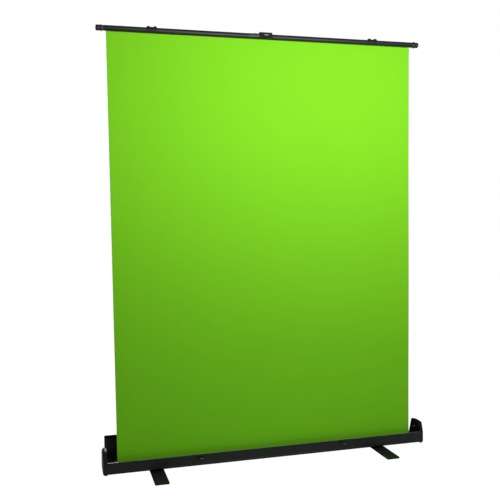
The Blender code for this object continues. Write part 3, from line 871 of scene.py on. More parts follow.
@dataclass
class FloorCase:
    """The case tray, its end caps and what is screwed to them."""

    sheet: float = 0.002
    corner: float = 0.006
    lip: float = 0.0065
    nose: float = 0.0018
    step: float = 0.0283
    bead: float = 0.0024
    ribs: int = 6
    cap_wall: float = 0.004
    crown_middle: Point = (0.015, 0.045)
    crown: Sequence[Place] = (
        (0.0080, 0.996, 0.996), (0.0110, 0.988, 0.985), (0.0135, 0.972, 0.962), (0.0155, 0.950, 0.938),
        (0.0172, 0.920, 0.910), (0.0184, 0.880, 0.875), (0.0191, 0.830, 0.830), (0.0194, 0.760, 0.770),
    )
    pan_head: Sequence[Point] = (
        (0.0016, -0.006), (0.0016, 0.0001), (0.0038, 0.0002), (0.0038, 0.0009), (0.0034, 0.0016),
        (0.0022, 0.0021),
    )
    dome_head: Sequence[Point] = ((0.0030, 0.0), (0.0030, 0.0010), (0.0024, 0.0018), (0.0010, 0.0021))
    plate: float = 0.0018
    base: float = 0.0025
    screw_offset: float = 0.0085

    def build(self) -> None:
        """Models the tray, the caps, their screws and the base brackets."""
        self.build_tray()
        self.build_lip_highlight_strip()
        self.build_caps()
        self.build_cap_screws()
        for name in SIDES.values():
            self.build_bracket(name)

    def build_tray(self) -> None:
        """A channel with a turned-in front lip, a ribbed floor and a hinge bead."""
        low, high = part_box("case_tray")
        front, bottom, top, rear = low.y, low.z, high.z, HINGE[0] - 0.002
        fronts, rears = ((y, bottom + self.corner) for y in (front + self.corner, rear - self.corner))
        inner = self.corner - self.sheet
        outline = [
            (front + self.lip, top),
            *arc((front + self.nose, top - self.nose), self.nose, 90, 180, 4),
            (front, bottom + 0.0125),
            (front + 0.0006, bottom + 0.0118),
            (front + 0.0006, bottom + 0.0108),
            (front, bottom + 0.0101),
            *arc(fronts, self.corner, 180, 270, 8),
            *arc(rears, self.corner, 270, 360, 8),
            (rear, self.step),
            *arc(HINGE, self.bead, 253, 577, 24),
            (rear - self.sheet, self.step),
            *arc(rears, inner, 360, 270, 6),
            *self.floor_ribs(rear - 0.012, front + 0.012, bottom + self.sheet),
            *arc(fronts, inner, 270, 180, 6),
            (front + self.sheet, top - 0.004),
            (front + self.sheet + 0.0012, top - 0.0022),
            (front + self.lip, top - 0.0016),
        ]
        tray = Piece.profile("case_tray_shell", outline, Way.X, low.x, high.x)
        tray.round_edges(0.0003).dressed(BLACK, "case", ["case_tray"])

    def floor_ribs(self, start: float, end: float, height: float) -> list[Point]:
        """Low ribs on the tray's floor, walked from the rear to the front.

        Args:
            start: The first rib's Y.
            end: The last rib's Y.
            height: The floor's height.

        Returns:
            The ribs' outline points.
        """
        rib = ((0.0008, 0.0), (0.0005, 0.0009), (-0.0005, 0.0009), (-0.0008, 0.0))
        middles = [start + (end - start) * index / (self.ribs - 1) for index in range(self.ribs)]
        return [(y + across, height + up) for y in middles for across, up in rib]

    def build_lip_highlight_strip(self) -> None:
        """A bright metal strip on the front lip: its light colour is a painted highlight for the light that the
        lip's top edge catches, and as metal it also reflects the lights and the cloth.
        """
        low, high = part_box("case_tray")
        near, far = low.y + 0.0014, low.y + self.lip - 0.0003
        start, end = (low.x + 0.0005, near, high.z), (high.x - 0.0005, far, high.z + 0.0003)
        # The strip's light colour paints the highlight along the lip's top edge.
        strip = Piece.box("lip_highlight_strip", start, end)
        strip.pick_faces(lambda centre, normal: normal.z > 0.9).inset(0.0003, 0.0001)
        strip.all_outward().dressed(LIP_HIGHLIGHT_METAL, "case")

    def build_caps(self) -> None:
        """Caps that round over quickly at the front and rear and hardly at top and bottom."""
        low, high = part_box("end_cap_right")
        front, top = low.y, high.z
        corners = [
            (front + 0.0050, low.z), (0.0545, low.z), (0.0602, 0.0185), (high.y, 0.0290), (high.y, 0.0370),
            (0.0498, 0.0802), (0.0402, 0.1120), (0.0334, 0.1173), (0.0032, top), (-0.0387, top - 0.0010),
            (-0.0437, 0.1184), (-0.0481, 0.1087), (front, 0.0702), (front, low.z + 0.0060),
        ]
        outline = filleted(corners, 0.0045)
        cap = Piece.profile("end_cap_right_moulding", outline, Way.X, low.x, low.x + self.cap_wall)
        cap.pick_faces(lambda centre, normal: normal.x > 0.9)
        before = (self.cap_wall, 1.0, 1.0)
        for rise, wide, tall in self.crown:
            centre = (low.x + rise, *self.crown_middle)
            cap.extrude((rise - before[0], 0, 0), (1, wide / before[1], tall / before[2]), centre)
            before = (rise, wide, tall)
        cap.inset(0.0030).inset(0.0010, -0.0005).all_outward()
        cap.cut_by(Piece.turned("seat", [(0.0046, -0.002), (0.0046, 0.0012)], Way.X, self.screw_place()))
        cap.both_dressed(CAP_PLASTIC, "case", "end_cap", 28)

    @staticmethod
    def screw_place() -> Place:
        """Where the right cap's inner screw sits."""
        centre = middle("end_cap_screw_right")
        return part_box("end_cap_right")[0].x, centre.y, centre.z

    def build_cap_screws(self) -> None:
        """Pan-head screws with a cross recess."""
        x, y, z = self.screw_place()
        screw = Piece.turned("end_cap_screw_right_head", self.pan_head, Way.X, (x, y, z), 28, flip=True)
        for across, up in ((0.0005, 0.0021), (0.0021, 0.0005)):
            low, high = (x - 0.0026, y - across, z - up), (x - 0.0012, y + across, z + up)
            screw.cut_by(Piece.box("recess", low, high))
        screw.both_dressed(ZINC, "case", "end_cap_screw")

    def build_bracket(self, name: str) -> None:
        """A bent bracket on the floor for an arm's lower pivot, and its two screws.

        Args:
            name: "left" or "right".
        """
        low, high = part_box(f"base_bracket_{name}")
        floor = low.z + self.base
        outline = [
            (low.y, low.z), (high.y, low.z), (high.y, high.z), (high.y - self.plate, high.z),
            (high.y - self.plate, floor), (low.y + self.plate, floor), (low.y + self.plate, high.z),
            (low.y, high.z),
        ]
        bracket = Piece.profile(f"base_bracket_{name}_bent", outline, Way.X, low.x, high.x)
        bracket.pick_edges(lambda a, b: abs(a.y - b.y) > 1e-4 and min(a.z, b.z) > high.z - 1e-4)
        bracket.bevel_selected(0.008, 6).round_edges(0.0003, 2, 60)
        bracket.dressed(PAINT, "case", [f"base_bracket_{name}"])
        centre = middle(f"base_bracket_{name}")
        for number, offset in enumerate((-self.screw_offset, self.screw_offset)):
            place = (centre.x + offset, centre.y, floor)
            screw = Piece.turned(f"bracket_screw_{name}_{number}", self.dome_head, Way.Z, place, 20)
            screw.dressed(ZINC, "case")


@dataclass
class Lid:
    """The lid, open behind the case, with its strikes and carry handle."""

    sheet: float = 0.002
    hook_inner: float = 0.0029
    hook_outer: float = 0.0044
    handle_radius: float = 0.004
    bend: float = 0.009
    eye: float = 0.0072
    skin: Sequence[Point] = (
        (-0.0597, 0.0706), (-0.0475, 0.1085), (-0.0432, 0.1180), (-0.0385, 0.1208), (0.0030, 0.1222),
        (0.0330, 0.1168), (0.0398, 0.1115), (0.0492, 0.0800), (0.0601, 0.0374),
    )
    channels: Sequence[Point] = ((-0.0330, 0.1152), (0.0270, 0.1120))
    strike: Sequence[Point] = (
        (0.004, 0.0003), (0.014, 0.0003), (0.014, 0.0015), (0.009, 0.0015), (0.0075, 0.0040),
        (0.004, 0.0040),
    )
    grip_steps: int = 48

    def build(self) -> None:
        """Models the shell, the screw channels, the strikes and the handle."""
        self.build_shell()
        self.build_strikes()
        self.build_handle()

    @staticmethod
    def opened(outline: Sequence[Point]) -> list[Point]:
        """An outline drawn on the closed lid, turned back about the hinge."""
        return [(HINGE[0] + (z - HINGE[1]), HINGE[1] - (y - HINGE[0])) for y, z in outline]

    @staticmethod
    def inside_of(path: Sequence[Point], distance: float) -> list[Point]:
        """The path moved towards the inside of the lid.

        Args:
            path: The outer skin, from lip to hinge.
            distance: How far it moves.

        Returns:
            The inner path, in the same order.
        """
        ways = [(Vector(b) - Vector(a)).normalized() for a, b in zip(path, path[1:])]
        ways = [ways[0], *ways, ways[-1]]
        moved: list[Point] = []
        for point, before, after in zip(path, ways, ways[1:]):
            normal = Vector((before.y + after.y, -before.x - after.x)).normalized()
            stretch = distance / normal.dot(Vector((before.y, -before.x)))
            moved.append(tuple(Vector(point) + normal * stretch))
        return moved

    def build_shell(self) -> None:
        """The folded skin with its hinge hook, and two screw channels along its inside."""
        low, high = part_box("lid_shell")
        skin = [self.skin[0]]
        for corner in zip(self.skin, self.skin[1:], self.skin[2:]):
            skin += rounded(corner, 0.005, 0.45, 4)
        skin.append(self.skin[-1])
        hook = [
            *arc(HINGE, self.hook_outer, 80, -5, 8),
            *arc(HINGE, self.hook_inner, -5, 215, 22),
            *arc(HINGE, self.hook_outer, 215, 135, 8),
        ]
        outline = self.opened([*skin, *hook, *reversed(self.inside_of(skin, self.sheet))])
        shell = Piece.profile("lid_extrusion", outline, Way.X, low.x, high.x)
        shell.round_edges(0.0003, 2, 55).dressed(BLACK, "lid", ["lid_shell"])
        for number, centre in enumerate(self.channels):
            ring = self.opened(arc(centre, 0.0034, 130, 410, 14) + arc(centre, 0.0019, 410, 130, 12))
            rib = Piece.profile(f"lid_screw_channel_{number}", ring, Way.X, low.x + 0.001, high.x - 0.001)
            rib.dressed(BLACK, "lid")

    def build_strikes(self) -> None:
        """Small hooked plates for the latches, near the lip."""
        lip = Vector(self.skin[0])
        up = (Vector(self.skin[1]) - lip).normalized()
        out = Vector((-up.y, up.x))
        outline = self.opened([tuple(lip + up * along + out * off) for along, off in self.strike])
        for name in SIDES.values():
            low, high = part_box(f"lid_strike_{name}")
            strike = Piece.profile(f"lid_strike_{name}_plate", outline, Way.X, low.x, high.x)
            strike.round_edges(0.0004, 3, 30).dressed(ZINC, "lid", [f"lid_strike_{name}"])

    def build_handle(self) -> None:
        """A bail with a ribbed grip, and the two brackets that it turns in."""
        low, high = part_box("carry_handle")
        start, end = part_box("handle_bracket_right")
        pivot = (middle("carry_handle").y, high.z - self.handle_radius)
        drop = high.z - low.z - 2 * self.handle_radius
        inside = middle("carry_handle").x + (start.x - 0.0100)
        right = [(end.x + 0.0010, 0.0), *arc((inside + 0.007, -0.007), 0.007, 90, 180, 6)]
        right += arc((inside - self.bend, self.bend - drop), self.bend, 0, -90, 8)
        route = [(x, pivot[0], pivot[1] + z) for x, z in right + [(-x, z) for x, z in reversed(right)]]
        bail = Piece.bent_rod("carry_handle_bail", route, self.handle_radius * 0.8)
        bail.dressed(PAINT, "handle", ["carry_handle"])
        self.build_grip(inside - 0.014, (0, pivot[0], pivot[1] - drop))
        hole = circle(pivot, self.handle_radius + 0.0002)
        plate = [(start.y, pivot[1] - 0.0100), (start.y, pivot[1] + 0.0080)]
        body = plate + arc(pivot, self.eye, 70, -70, 12)
        bracket = Piece.profile("handle_bracket_right_moulding", body, Way.X, start.x, end.x, [hole])
        bracket.round_edges(0.0006, 3, 40).both_dressed(PLASTIC, "lid", "handle_bracket")

    def build_grip(self, half: float, place: Place) -> None:
        """A soft sleeve with five finger grooves.

        Args:
            half: Half its length.
            place: Its middle.
        """
        steps = [(0.0037, -half)]
        for index in range(self.grip_steps + 1):
            share = index / self.grip_steps
            steps.append((0.00455 + 0.00035 * math.cos(2 * math.pi * 5 * share), -half + 2 * half * share))
        steps.append((0.0037, half))
        Piece.turned("carry_handle_grip", steps, Way.X, place).dressed(GRIP, "handle")


@dataclass
class Roller:
    """The roller in the tray and the cloth that is wound on it."""

    turns: int = 3

    def build(self) -> None:
        """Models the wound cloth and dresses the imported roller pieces."""
        self.build_roll()
        for name, finish in {"roller_tube": GREY_TUBE, "roller_shaft": ZINC, "roller_spring": ZINC}.items():
            finish.put_on(name)
        for side in SIDES.values():
            PLASTIC.put_on(f"roller_plug_{side}")
            PAINT.put_on(f"roller_bracket_{side}")

    def build_roll(self) -> None:
        """The wound cloth, its turns stepped at both ends, with the map for the weave."""
        centre, outer = middle("cloth_roll"), extent("cloth_roll").y / 2
        core = extent("roller_tube").y / 2 + 0.0002
        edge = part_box("cloth_roll")[1].x
        stepped: list[Point] = []
        for turn in range(1, self.turns + 1):
            radius = core + (outer - core) * turn / self.turns
            stepped += [(radius - 0.00045, edge), (radius - 0.0002, edge - 0.0005 * turn)]
        right = [(core, edge), *stepped, (outer, edge - 0.002)]
        left = [(radius, -x) for radius, x in reversed(right)]
        steps = [left[-1], *right, *left[:-1]]
        roll = Piece.turned("wound_cloth", steps, Way.X, (0, centre.y, centre.z), 64, hollow=True)
        layer = roll.obj.data.uv_layers.new(name="weave")
        for loop in roll.obj.data.loops:
            place = roll.obj.data.vertices[loop.vertex_index].co
            layer.data[loop.index].uv = (place.x / CLOTH.width + 0.5, place.z * 3 / CLOTH.height)
        roll.dressed(CLOTH, "roller", ["cloth_roll"], 50)


@dataclass
class Screen:
    """The cloth between the roller and the top bar."""

    columns: int = 74
    rows: int = 98
    thickness: float = 0.0004
    draw_in: float = 0.0006
    ripple: Point = (0.0006, 0.0005)
    curl: float = 0.0014
    arm_margin: float = 0.020

    def build(self) -> None:
        """Models the sheet, lets it hang and gives it its weave."""
        low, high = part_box("green_screen")
        centre = (0, middle("green_screen").y, middle("green_screen").z)
        Piece.clear_bench()
        bpy.ops.mesh.primitive_grid_add(
            x_subdivisions=self.columns,
            y_subdivisions=self.rows,
            size=1,
            location=centre,
            rotation=(math.pi / 2, 0, 0),
        )
        bpy.ops.transform.resize(value=(high.x - low.x, 1, high.z - low.z), center_override=centre)
        sheet = Piece("green_screen_cloth")
        sheet.obj.data.uv_layers[0].name = "weave"
        for vertex in sheet.obj.data.vertices:
            vertex.co = self.hung(vertex.co.copy(), low, high)
        sheet.modify("SOLIDIFY", thickness=self.thickness, offset=0.0)
        sheet.dressed(CLOTH, "case", ["green_screen"], 60)
        self.fold_with_frame(sheet.obj)

    def hung(self, place: Vector, low: Vector, high: Vector) -> Vector:
        """A point of the sheet, with the faint waves and the drawn-in sides of hung cloth.

        Args:
            place: The point on the flat sheet.
            low: The sheet's lowest corner.
            high: Its highest corner.

        Returns:
            The point on the hung sheet.
        """
        up, side = (place.z - low.z) / (high.z - low.z), place.x / high.x
        free = math.sin(math.pi * up) ** 0.6
        wave = self.ripple[0] * math.sin(17 * side + 1.3) * (1 - up) ** 2
        wave += self.ripple[1] * math.sin(29 * side * side + 2) * up**3
        wave += self.curl * abs(side) ** 24 * math.sin(2 * math.pi * 1.5 * up + side)
        return Vector((place.x * (1 - self.draw_in * free), place.y + wave * free, place.z))

    def fold_with_frame(self, obj: bpy.types.Object) -> None:
        """Gives the sheet its own copy of its mesh.

        Args:
            obj: The sheet.
        """
        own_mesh(obj)


@dataclass
class TopBar:
    """The bar that the cloth hangs from, its caps, saddles and pull handle."""

    wall: float = 0.0015
    slot: float = 0.003
    # Where the lighter front band, a painted highlight, starts and ends, in degrees.
    band: Point = (136, 187)
    badge: tuple[float, float, float, float] = (-0.0155, 2.0214, 0.0060, 2.0260)
    cap: Sequence[Point] = (
        (0.0060, -0.0090), (0.0060, 0.0003), (0.0112, 0.0003), (0.0116, 0.0007), (0.0116, 0.0078),
        (0.0120, 0.0084), (0.0150, 0.0086), (0.0155, 0.0090), (0.0155, 0.0113), (0.0150, 0.0118),
        (0.0131, 0.0121), (0.0128, 0.0128), (0.0128, 0.0180), (0.0125, 0.0183), (0.0125, 0.0190),
        (0.0128, 0.0193), (0.0128, 0.0295), (0.0125, 0.0315), (0.0115, 0.0332), (0.0095, 0.0344),
        (0.0060, 0.0349), (0.0020, 0.0350),
    )
    screw: Sequence[Point] = ((0.0034, -0.0008), (0.0034, 0.0012), (0.0028, 0.0020), (0.0012, 0.0023))
    saddle: tuple[float, float] = (2.0030, 2.0225)

    def build(self) -> None:
        """Models the tube, the band, the caps, the handle and the brackets."""
        self.low, self.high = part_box("top_bar")
        self.centre: Point = (middle("top_bar").y, self.high.z - BAR_RADIUS)
        self.build_tube()
        cap = Piece.turned("bar_cap_right_moulding", self.cap, Way.X, (self.high.x, *self.centre), 48)
        cap.both_dressed(PLASTIC, "bar", "bar_cap")
        self.build_pull_handle()
        self.build_collars()
        for name in SIDES.values():
            self.build_bracket(name)
        ZINC.put_on("hem_rod")

    def build_tube(self) -> None:
        """A round tube with a cloth slot, a shallow front groove and a lighter grey satin band in it; the
        band's lighter colour is a painted highlight across the bar's front, where the light falls.
        """
        bore = BAR_RADIUS - self.wall
        cloth_y = middle("green_screen").y - self.centre[0]
        far, near = cloth_y + self.slot / 2, cloth_y - self.slot / 2
        outer = [math.degrees(math.acos(offset / BAR_RADIUS)) for offset in (near, far)]
        inner = [math.degrees(math.acos(offset / bore)) for offset in (near, far)]
        first, last = self.band
        outline = [
            *arc(self.centre, BAR_RADIUS, -outer[1], first, 36),
            *arc(self.centre, BAR_RADIUS - 0.0005, first, last, 12),
            *arc(self.centre, BAR_RADIUS, last, 360 - outer[0], 26),
            *arc(self.centre, bore, 360 - inner[0], -inner[1], 56),
        ]
        tube = Piece.profile("top_bar_tube", outline, Way.X, self.low.x, self.high.x)
        tube.round_edges(0.0002).dressed(BLACK, "bar", ["top_bar"])
        # The lighter grey band along the front paints the bar's highlight.
        strip = arc(self.centre, BAR_RADIUS - 0.0001, first + 2, last - 2, 12)
        strip += arc(self.centre, BAR_RADIUS - 0.00045, last - 2, first + 2, 12)
        band = Piece.profile("top_bar_band", strip, Way.X, self.low.x + 0.001, self.high.x - 0.001)
        band.dressed(FRONT_HIGHLIGHT_GREY, "bar")

    def build_pull_handle(self) -> None:
        """A block clipped over the bar, with a blank pale badge in a shallow seat."""
        low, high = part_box("pull_handle")
        outline = [
            (low.y + 0.0012, low.z),
            *arc((low.y + 0.0016, low.z + 0.0016), 0.0016, 250, 180, 4),
            *arc((low.y + 0.0030, high.z - 0.0030), 0.0030, 180, 90, 5),
            (-0.0215, high.z),
            (-0.0205, high.z - 0.0008),
            *arc(self.centre, 0.0128, 58, 209, 26),
        ]
        block = Piece.profile("pull_handle_block", outline, Way.X, low.x, high.x)
        block.pick_edges(lambda a, b: abs(a.x - b.x) < 1e-5 and not low.x + 1e-4 < a.x < high.x - 1e-4)
        block.bevel_selected(0.0012)
        left, bottom, right, top = self.badge
        seat_low = (left - 0.0006, low.y - 0.001, bottom - 0.0006)
        seat_high = (right + 0.0006, low.y + 0.0006, top + 0.0006)
        block.cut_by(Piece.box("seat", seat_low, seat_high)).dressed(GRIP, "bar", ["pull_handle"])
        outline = filleted(oblong(*self.badge), 0.0020)
        badge = Piece.profile("pull_handle_badge", outline, Way.Y, low.y + 0.0001, low.y + 0.0005)
        badge.round_edges(0.0001).dressed(PALE_BADGE, "bar")

    def build_collars(self) -> None:
        """A ribbed sleeve to the left of the handle, its clamp screw, and a thin stop to the right."""
        low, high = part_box("pull_handle")
        start, end, stop = low.x - 0.0500, low.x - 0.0004, high.x + 0.0004
        self.collar("ribbed_sleeve", start, end, 0.01285).dressed(SLEEVE, "bar")
        rib = self.collar("ribbed_sleeve_ribs", start + 0.001, start + 0.0021, 0.01325, (40, 195))
        rib.modify(
            "ARRAY",
            count=22,
            use_relative_offset=False,
            use_constant_offset=True,
            constant_offset_displace=(0.0022, 0, 0),
        )
        rib.dressed(SLEEVE, "bar")
        place = (end - 0.0160, self.centre[0], self.centre[1] + 0.0128)
        Piece.turned("clamp_screw", self.screw, Way.Z, place, 24).dressed(GRIP, "bar")
        self.collar("handle_stop", stop, stop + 0.0040, 0.0136, (30, 205)).dressed(GRIP, "bar")

    def collar(self, name: str, start: float, end: float, radius: float, span: Point = (25, 200)) -> Piece:
        """Part of a sleeve round the bar's top and front.

        Args:
            name: The piece's name.
            start: Its lower X.
            end: Its higher X.
            radius: Its outer radius.
            span: The directions where it starts and ends, in degrees.

        Returns:
            The new piece.
        """
        outline = arc(self.centre, radius, *span, 20) + arc(self.centre, 0.01262, *reversed(span), 20)
        return Piece.profile(name, outline, Way.X, start, end).round_edges(0.0001)

    def build_bracket(self, name: str) -> None:
        """A saddle over the bar, with two raised bands.

        Args:
            name: "left" or "right".
        """
        low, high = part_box(f"top_bracket_{name}")
        back, (bottom, top) = high.y, self.saddle
        outline = [
            *arc(self.centre, 0.0155, 200, 62, 22),
            (-0.0150, top), (back - 0.002, top), (back, top - 0.0020), (back, bottom + 0.0020),
            (back - 0.002, bottom), (-0.0150, bottom), (-0.0150, 2.0125),
            *arc(self.centre, 0.0127, 0, 200, 26),
        ]
        bracket = Piece.profile(f"top_bracket_{name}_moulding", outline, Way.X, low.x, high.x)
        ear = arc(self.centre, 0.0194, 132, 48, 14) + arc(self.centre, 0.0142, 48, 132, 10)
        for offset in (-0.0150, 0.0150):
            x = middle(f"top_bracket_{name}").x + offset
            bracket.cut_by(Piece.profile("band", ear, Way.X, x - 0.004, x + 0.004), "UNION")
        bracket.round_edges(0.0005, 2, 45).dressed(DARK_PLASTIC, "bar", [f"top_bracket_{name}"])


@dataclass
class FoldingFrame:
    """Four flat arms with moulded ends, their rivets, and the gas spring between them."""

    half_height: float = 0.010
    sleeve: float = 0.055
    groove_start: float = 0.075
    groove_depth: float = 0.0007
    eye_reach: float = 0.0068
    shell: Sequence[Point] = (
        (0.0044, 0.018), (0.0030, 0.0165), (0.0030, 0.0060), (0.0040, 0.0060), (0.0040, 0.0120),
        (0.0048, 0.0140), (0.0058, 0.0165),
    )
    neck: Sequence[Point] = (
        (0.0058, -0.010), (0.0055, -0.0090), (0.0055, -0.0075), (0.0058, -0.0065), (0.0058, -0.0015),
        (0.0050, 0.0), (0.0044, 0.0),
    )
    rod: Sequence[Point] = ((0.0020, 0.0055), (0.0034, 0.0060), (0.0034, 0.0160), (0.0035, 0.0165))
    eye: Sequence[Point] = (
        (0.0034, -0.0045), (0.0062, -0.0045), (0.0068, -0.0038), (0.0068, 0.0038), (0.0062, 0.0045),
        (0.0034, 0.0045),
    )

    def build(self) -> None:
        """Models arms, sleeves and rivets on both sides, then the gas spring."""
        for side, name in SIDES.items():
            self.build_arm(side, "lower")
            self.build_arm(side, "upper")
            self.build_rivets(name)
        self.build_gas_spring()
        for name in SIDES.values():
            self.build_stud(name)

    def ends(self, node: str, leans_right: bool) -> tuple[Vector, Vector]:
        """An arm's two pivots in the X-Z plane, the lower one first.

        Args:
            node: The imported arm.
            leans_right: True if its upper end is to the right of its lower one.

        Returns:
            The two pivots.
        """
        low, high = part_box(node)
        left, right = low.x + self.half_height, high.x - self.half_height
        start, end = (left, right) if leans_right else (right, left)
        return Vector((start, low.z + self.half_height)), Vector((end, high.z - self.half_height))

    @staticmethod
    def bar_outline(start: Vector, end: Vector, half: float) -> list[Point]:
        """A straight bar with half-round ends.

        Args:
            start: The first end's centre.
            end: The other end's centre.
            half: Half the bar's height.

        Returns:
            The closed outline.
        """
        heading = math.degrees(math.atan2((end - start).y, (end - start).x))
        far = arc(tuple(end), half, heading - 90, heading + 90, 14)
        return far + arc(tuple(start), half, heading + 90, heading + 270, 14)

    def build_arm(self, side: int, part: str) -> None:
        """One arm with the pressed groove along both faces, and its moulded ends.

        Args:
            side: -1 for the left, 1 for the right.
            part: "lower" or "upper".
        """
        node, body = f"{part}_arm_{SIDES[side]}", f"{SIDES[side]}_{part}_arm"
        low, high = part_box(node)
        start, end = self.ends(node, (side < 0) == (part == "lower"))
        way = (end - start).normalized()
        holes = [circle(tuple(pivot), PIVOT_HOLE) for pivot in (start, end)]
        outline = self.bar_outline(start, end, 0.0096)
        faces = (low.y + 0.0003, high.y - 0.0003)
        arm = Piece.profile(f"{node}_bar", outline, Way.Y, *faces, holes)
        groove = self.bar_outline(start + way * self.groove_start, end - way * self.groove_start, 0.0030)
        for face in faces:
            near, far = face - self.groove_depth, face + self.groove_depth
            arm.cut_by(Piece.profile("groove", groove, Way.Y, near, far))
        arm.round_edges(0.0003, 3, 40).dressed(BLACK_ARM, body, [node])
        centre = middle(node).y
        cheeks = ((low.y - 0.0002, centre - 0.0030), (centre + 0.0030, high.y + 0.0002))
        for number, (pivot, inward) in enumerate(((start, way), (end, -way))):
            outline = self.bar_outline(pivot, pivot + inward * self.sleeve, self.half_height)
            for face, (near, far) in enumerate(cheeks):
                name, hole = f"{node}_end_{number}_{face}", holes[number]
                cheek = Piece.profile(name, outline, Way.Y, near, far, [hole])
                cheek.round_edges(0.0005, 2, 40).dressed(PLASTIC, body)

    @staticmethod
    def build_rivets(name: str) -> None:
        """Domed rivets at the base, the knee and the top, with a washer at the knee.

        Args:
            name: "left" or "right".
        """
        carriers = {"base": "case", "knee": f"{name}_lower_arm", "top": "bar"}
        for place, body in carriers.items():
            node = f"{place}_pin_{name}"
            centre, size, low = middle(node), extent(node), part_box(node)[0]
            head, top = size.x / 2, size.y - 0.0026
            shank = 0.0032 if node == "top_pin_right" else 0.0039
            washer = [(head * 0.6, 0.0), (head, 0.0006), (head, 0.0017), (shank, 0.0018)]
            steps = washer if place == "knee" else [(shank, 0.0)]
            steps += [(shank, top), (head, top + 0.0001), (head, top + 0.0007), (head * 0.86, top + 0.0008)]
            steps += [(head * 0.80, top + 0.0015), (head * 0.60, top + 0.0021), (head * 0.30, top + 0.0025)]
            rivet = Piece.turned(f"{node}_rivet", steps, Way.Y, (centre.x, low.y, centre.z))
            rivet.dressed(ZINC, body, [node])

    def build_gas_spring(self) -> None:
        """The cylinder with its rolled neck, the bright rod, and their eyes."""
        y, z = middle("gas_cylinder").yz
        low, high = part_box("gas_cylinder")
        rod_low, rod_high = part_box("gas_rod")
        left, right = low.x + self.eye_reach, rod_high.x - self.eye_reach
        end, tip = high.x - left, right - rod_low.x
        shell = [*self.shell, *((radius, end + along) for radius, along in self.neck)]
        cylinder = Piece.turned("gas_cylinder_tube", shell, Way.X, (left, y, z), 40, hollow=True)
        cylinder.dressed(PAINT, "gas_cylinder", ["gas_cylinder"])
        steps = [*self.rod, (0.0035, tip), (0.0020, tip + 0.0001)]
        rod = Piece.turned("gas_rod_bar", steps, Way.X, (right, y, z), flip=True)
        rod.dressed(CHROME, "gas_rod", ["gas_rod"])
        for body, x in (("gas_cylinder", left), ("gas_rod", right)):
            Piece.turned(f"{body}_eye", self.eye, Way.Y, (x, y, z), hollow=True).dressed(ZINC, body)

    @staticmethod
    def build_stud(name: str) -> None:
        """The stud that an eye of the gas spring turns on.

        Args:
            name: "left" or "right".
        """
        node = f"strut_stud_{name}"
        head, tall = extent(node).x / 2, extent(node).y
        place = (middle(node).x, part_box(node)[0].y, middle("gas_cylinder").z)
        steps = [(0.0030, 0.0), (0.0030, tall - 0.0026), (head, tall - 0.0025)]
        steps += [(head, tall - 0.0012), (head * 0.7, tall)]
        stud = Piece.turned(f"{node}_pin", steps, Way.Y, place, 28)
        stud.dressed(ZINC, f"{name}_lower_arm", [node])


@dataclass
class Feet:
    """The two flat feet that swivel out from under the case."""

    corner: float = 0.006
    pad_corner: float = 0.003
    bore: float = 0.0045

    def build(self) -> None:
        """Models the bars, their pads, the hub discs and the bolts."""
        for name in SIDES.values():
            self.build_bar(name)
            self.build_swivel(name)

    def build_bar(self, name: str) -> None:
        """One foot's bar and its two rubber pads.

        Args:
            name: "left" or "right".
        """
        body, bottom = f"{name}_foot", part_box(f"foot_bar_{name}")[0].z
        low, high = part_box(f"foot_bar_{name}")
        x = middle(f"foot_bar_{name}").x
        outline = filleted(oblong(low.x, low.y, high.x, high.y), self.corner, 6)
        hole = circle((x, 0), PIVOT_HOLE, 32)
        bar = Piece.profile(f"foot_bar_{name}_plate", outline, Way.Z, low.z, high.z, [hole])
        bar.pick_edges(lambda a, b: min(a.z, b.z) > high.z - 1e-5 and math.hypot(a.x - x, a.y) > 0.01)
        bar.bevel_selected(0.0012).dressed(PAINT, body, [f"foot_bar_{name}"])
        for node in (f"foot_pad_{name}_front", f"foot_pad_{name}_rear"):
            low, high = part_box(node)
            outline = filleted(oblong(low.x, low.y, high.x, high.y), self.pad_corner, 4)
            pad = Piece.profile(f"{node}_rubber", outline, Way.Z, low.z, bottom - 0.0001)
            pad.dressed(RUBBER, body, [node])

    def build_swivel(self, name: str) -> None:
        """One foot's hub disc and bolt.

        Args:
            name: "left" or "right".
        """
        hub, bolt = f"foot_hub_{name}", f"foot_bolt_{name}"
        x, radius, tall = middle(hub).x, extent(hub).x / 2, extent(hub).z
        steps = [(self.bore, 0.0), (radius - 0.003, 0.0), (radius, 0.0008), (radius, 0.0022)]
        steps += [(radius - 0.003, 0.0040), (radius - 0.003, tall), (self.bore, tall)]
        disc = Piece.turned(f"{hub}_disc", steps, Way.Z, (x, 0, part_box(hub)[0].z), 64, hollow=True)
        disc.dressed(PLASTIC, "case", [hub])
        tall = extent(bolt).z
        steps = [(0.0036, 0.0), (0.0040, 0.0005), (0.0040, tall - 0.0031), (0.0075, tall - 0.0030)]
        steps += [(0.0075, tall - 0.0012), (0.0066, tall - 0.0003), (0.0030, tall)]
        Piece.turned(f"{bolt}_head", steps, Way.Z, (x, 0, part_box(bolt)[0].z), 6).dressed(ZINC, "case", [bolt])


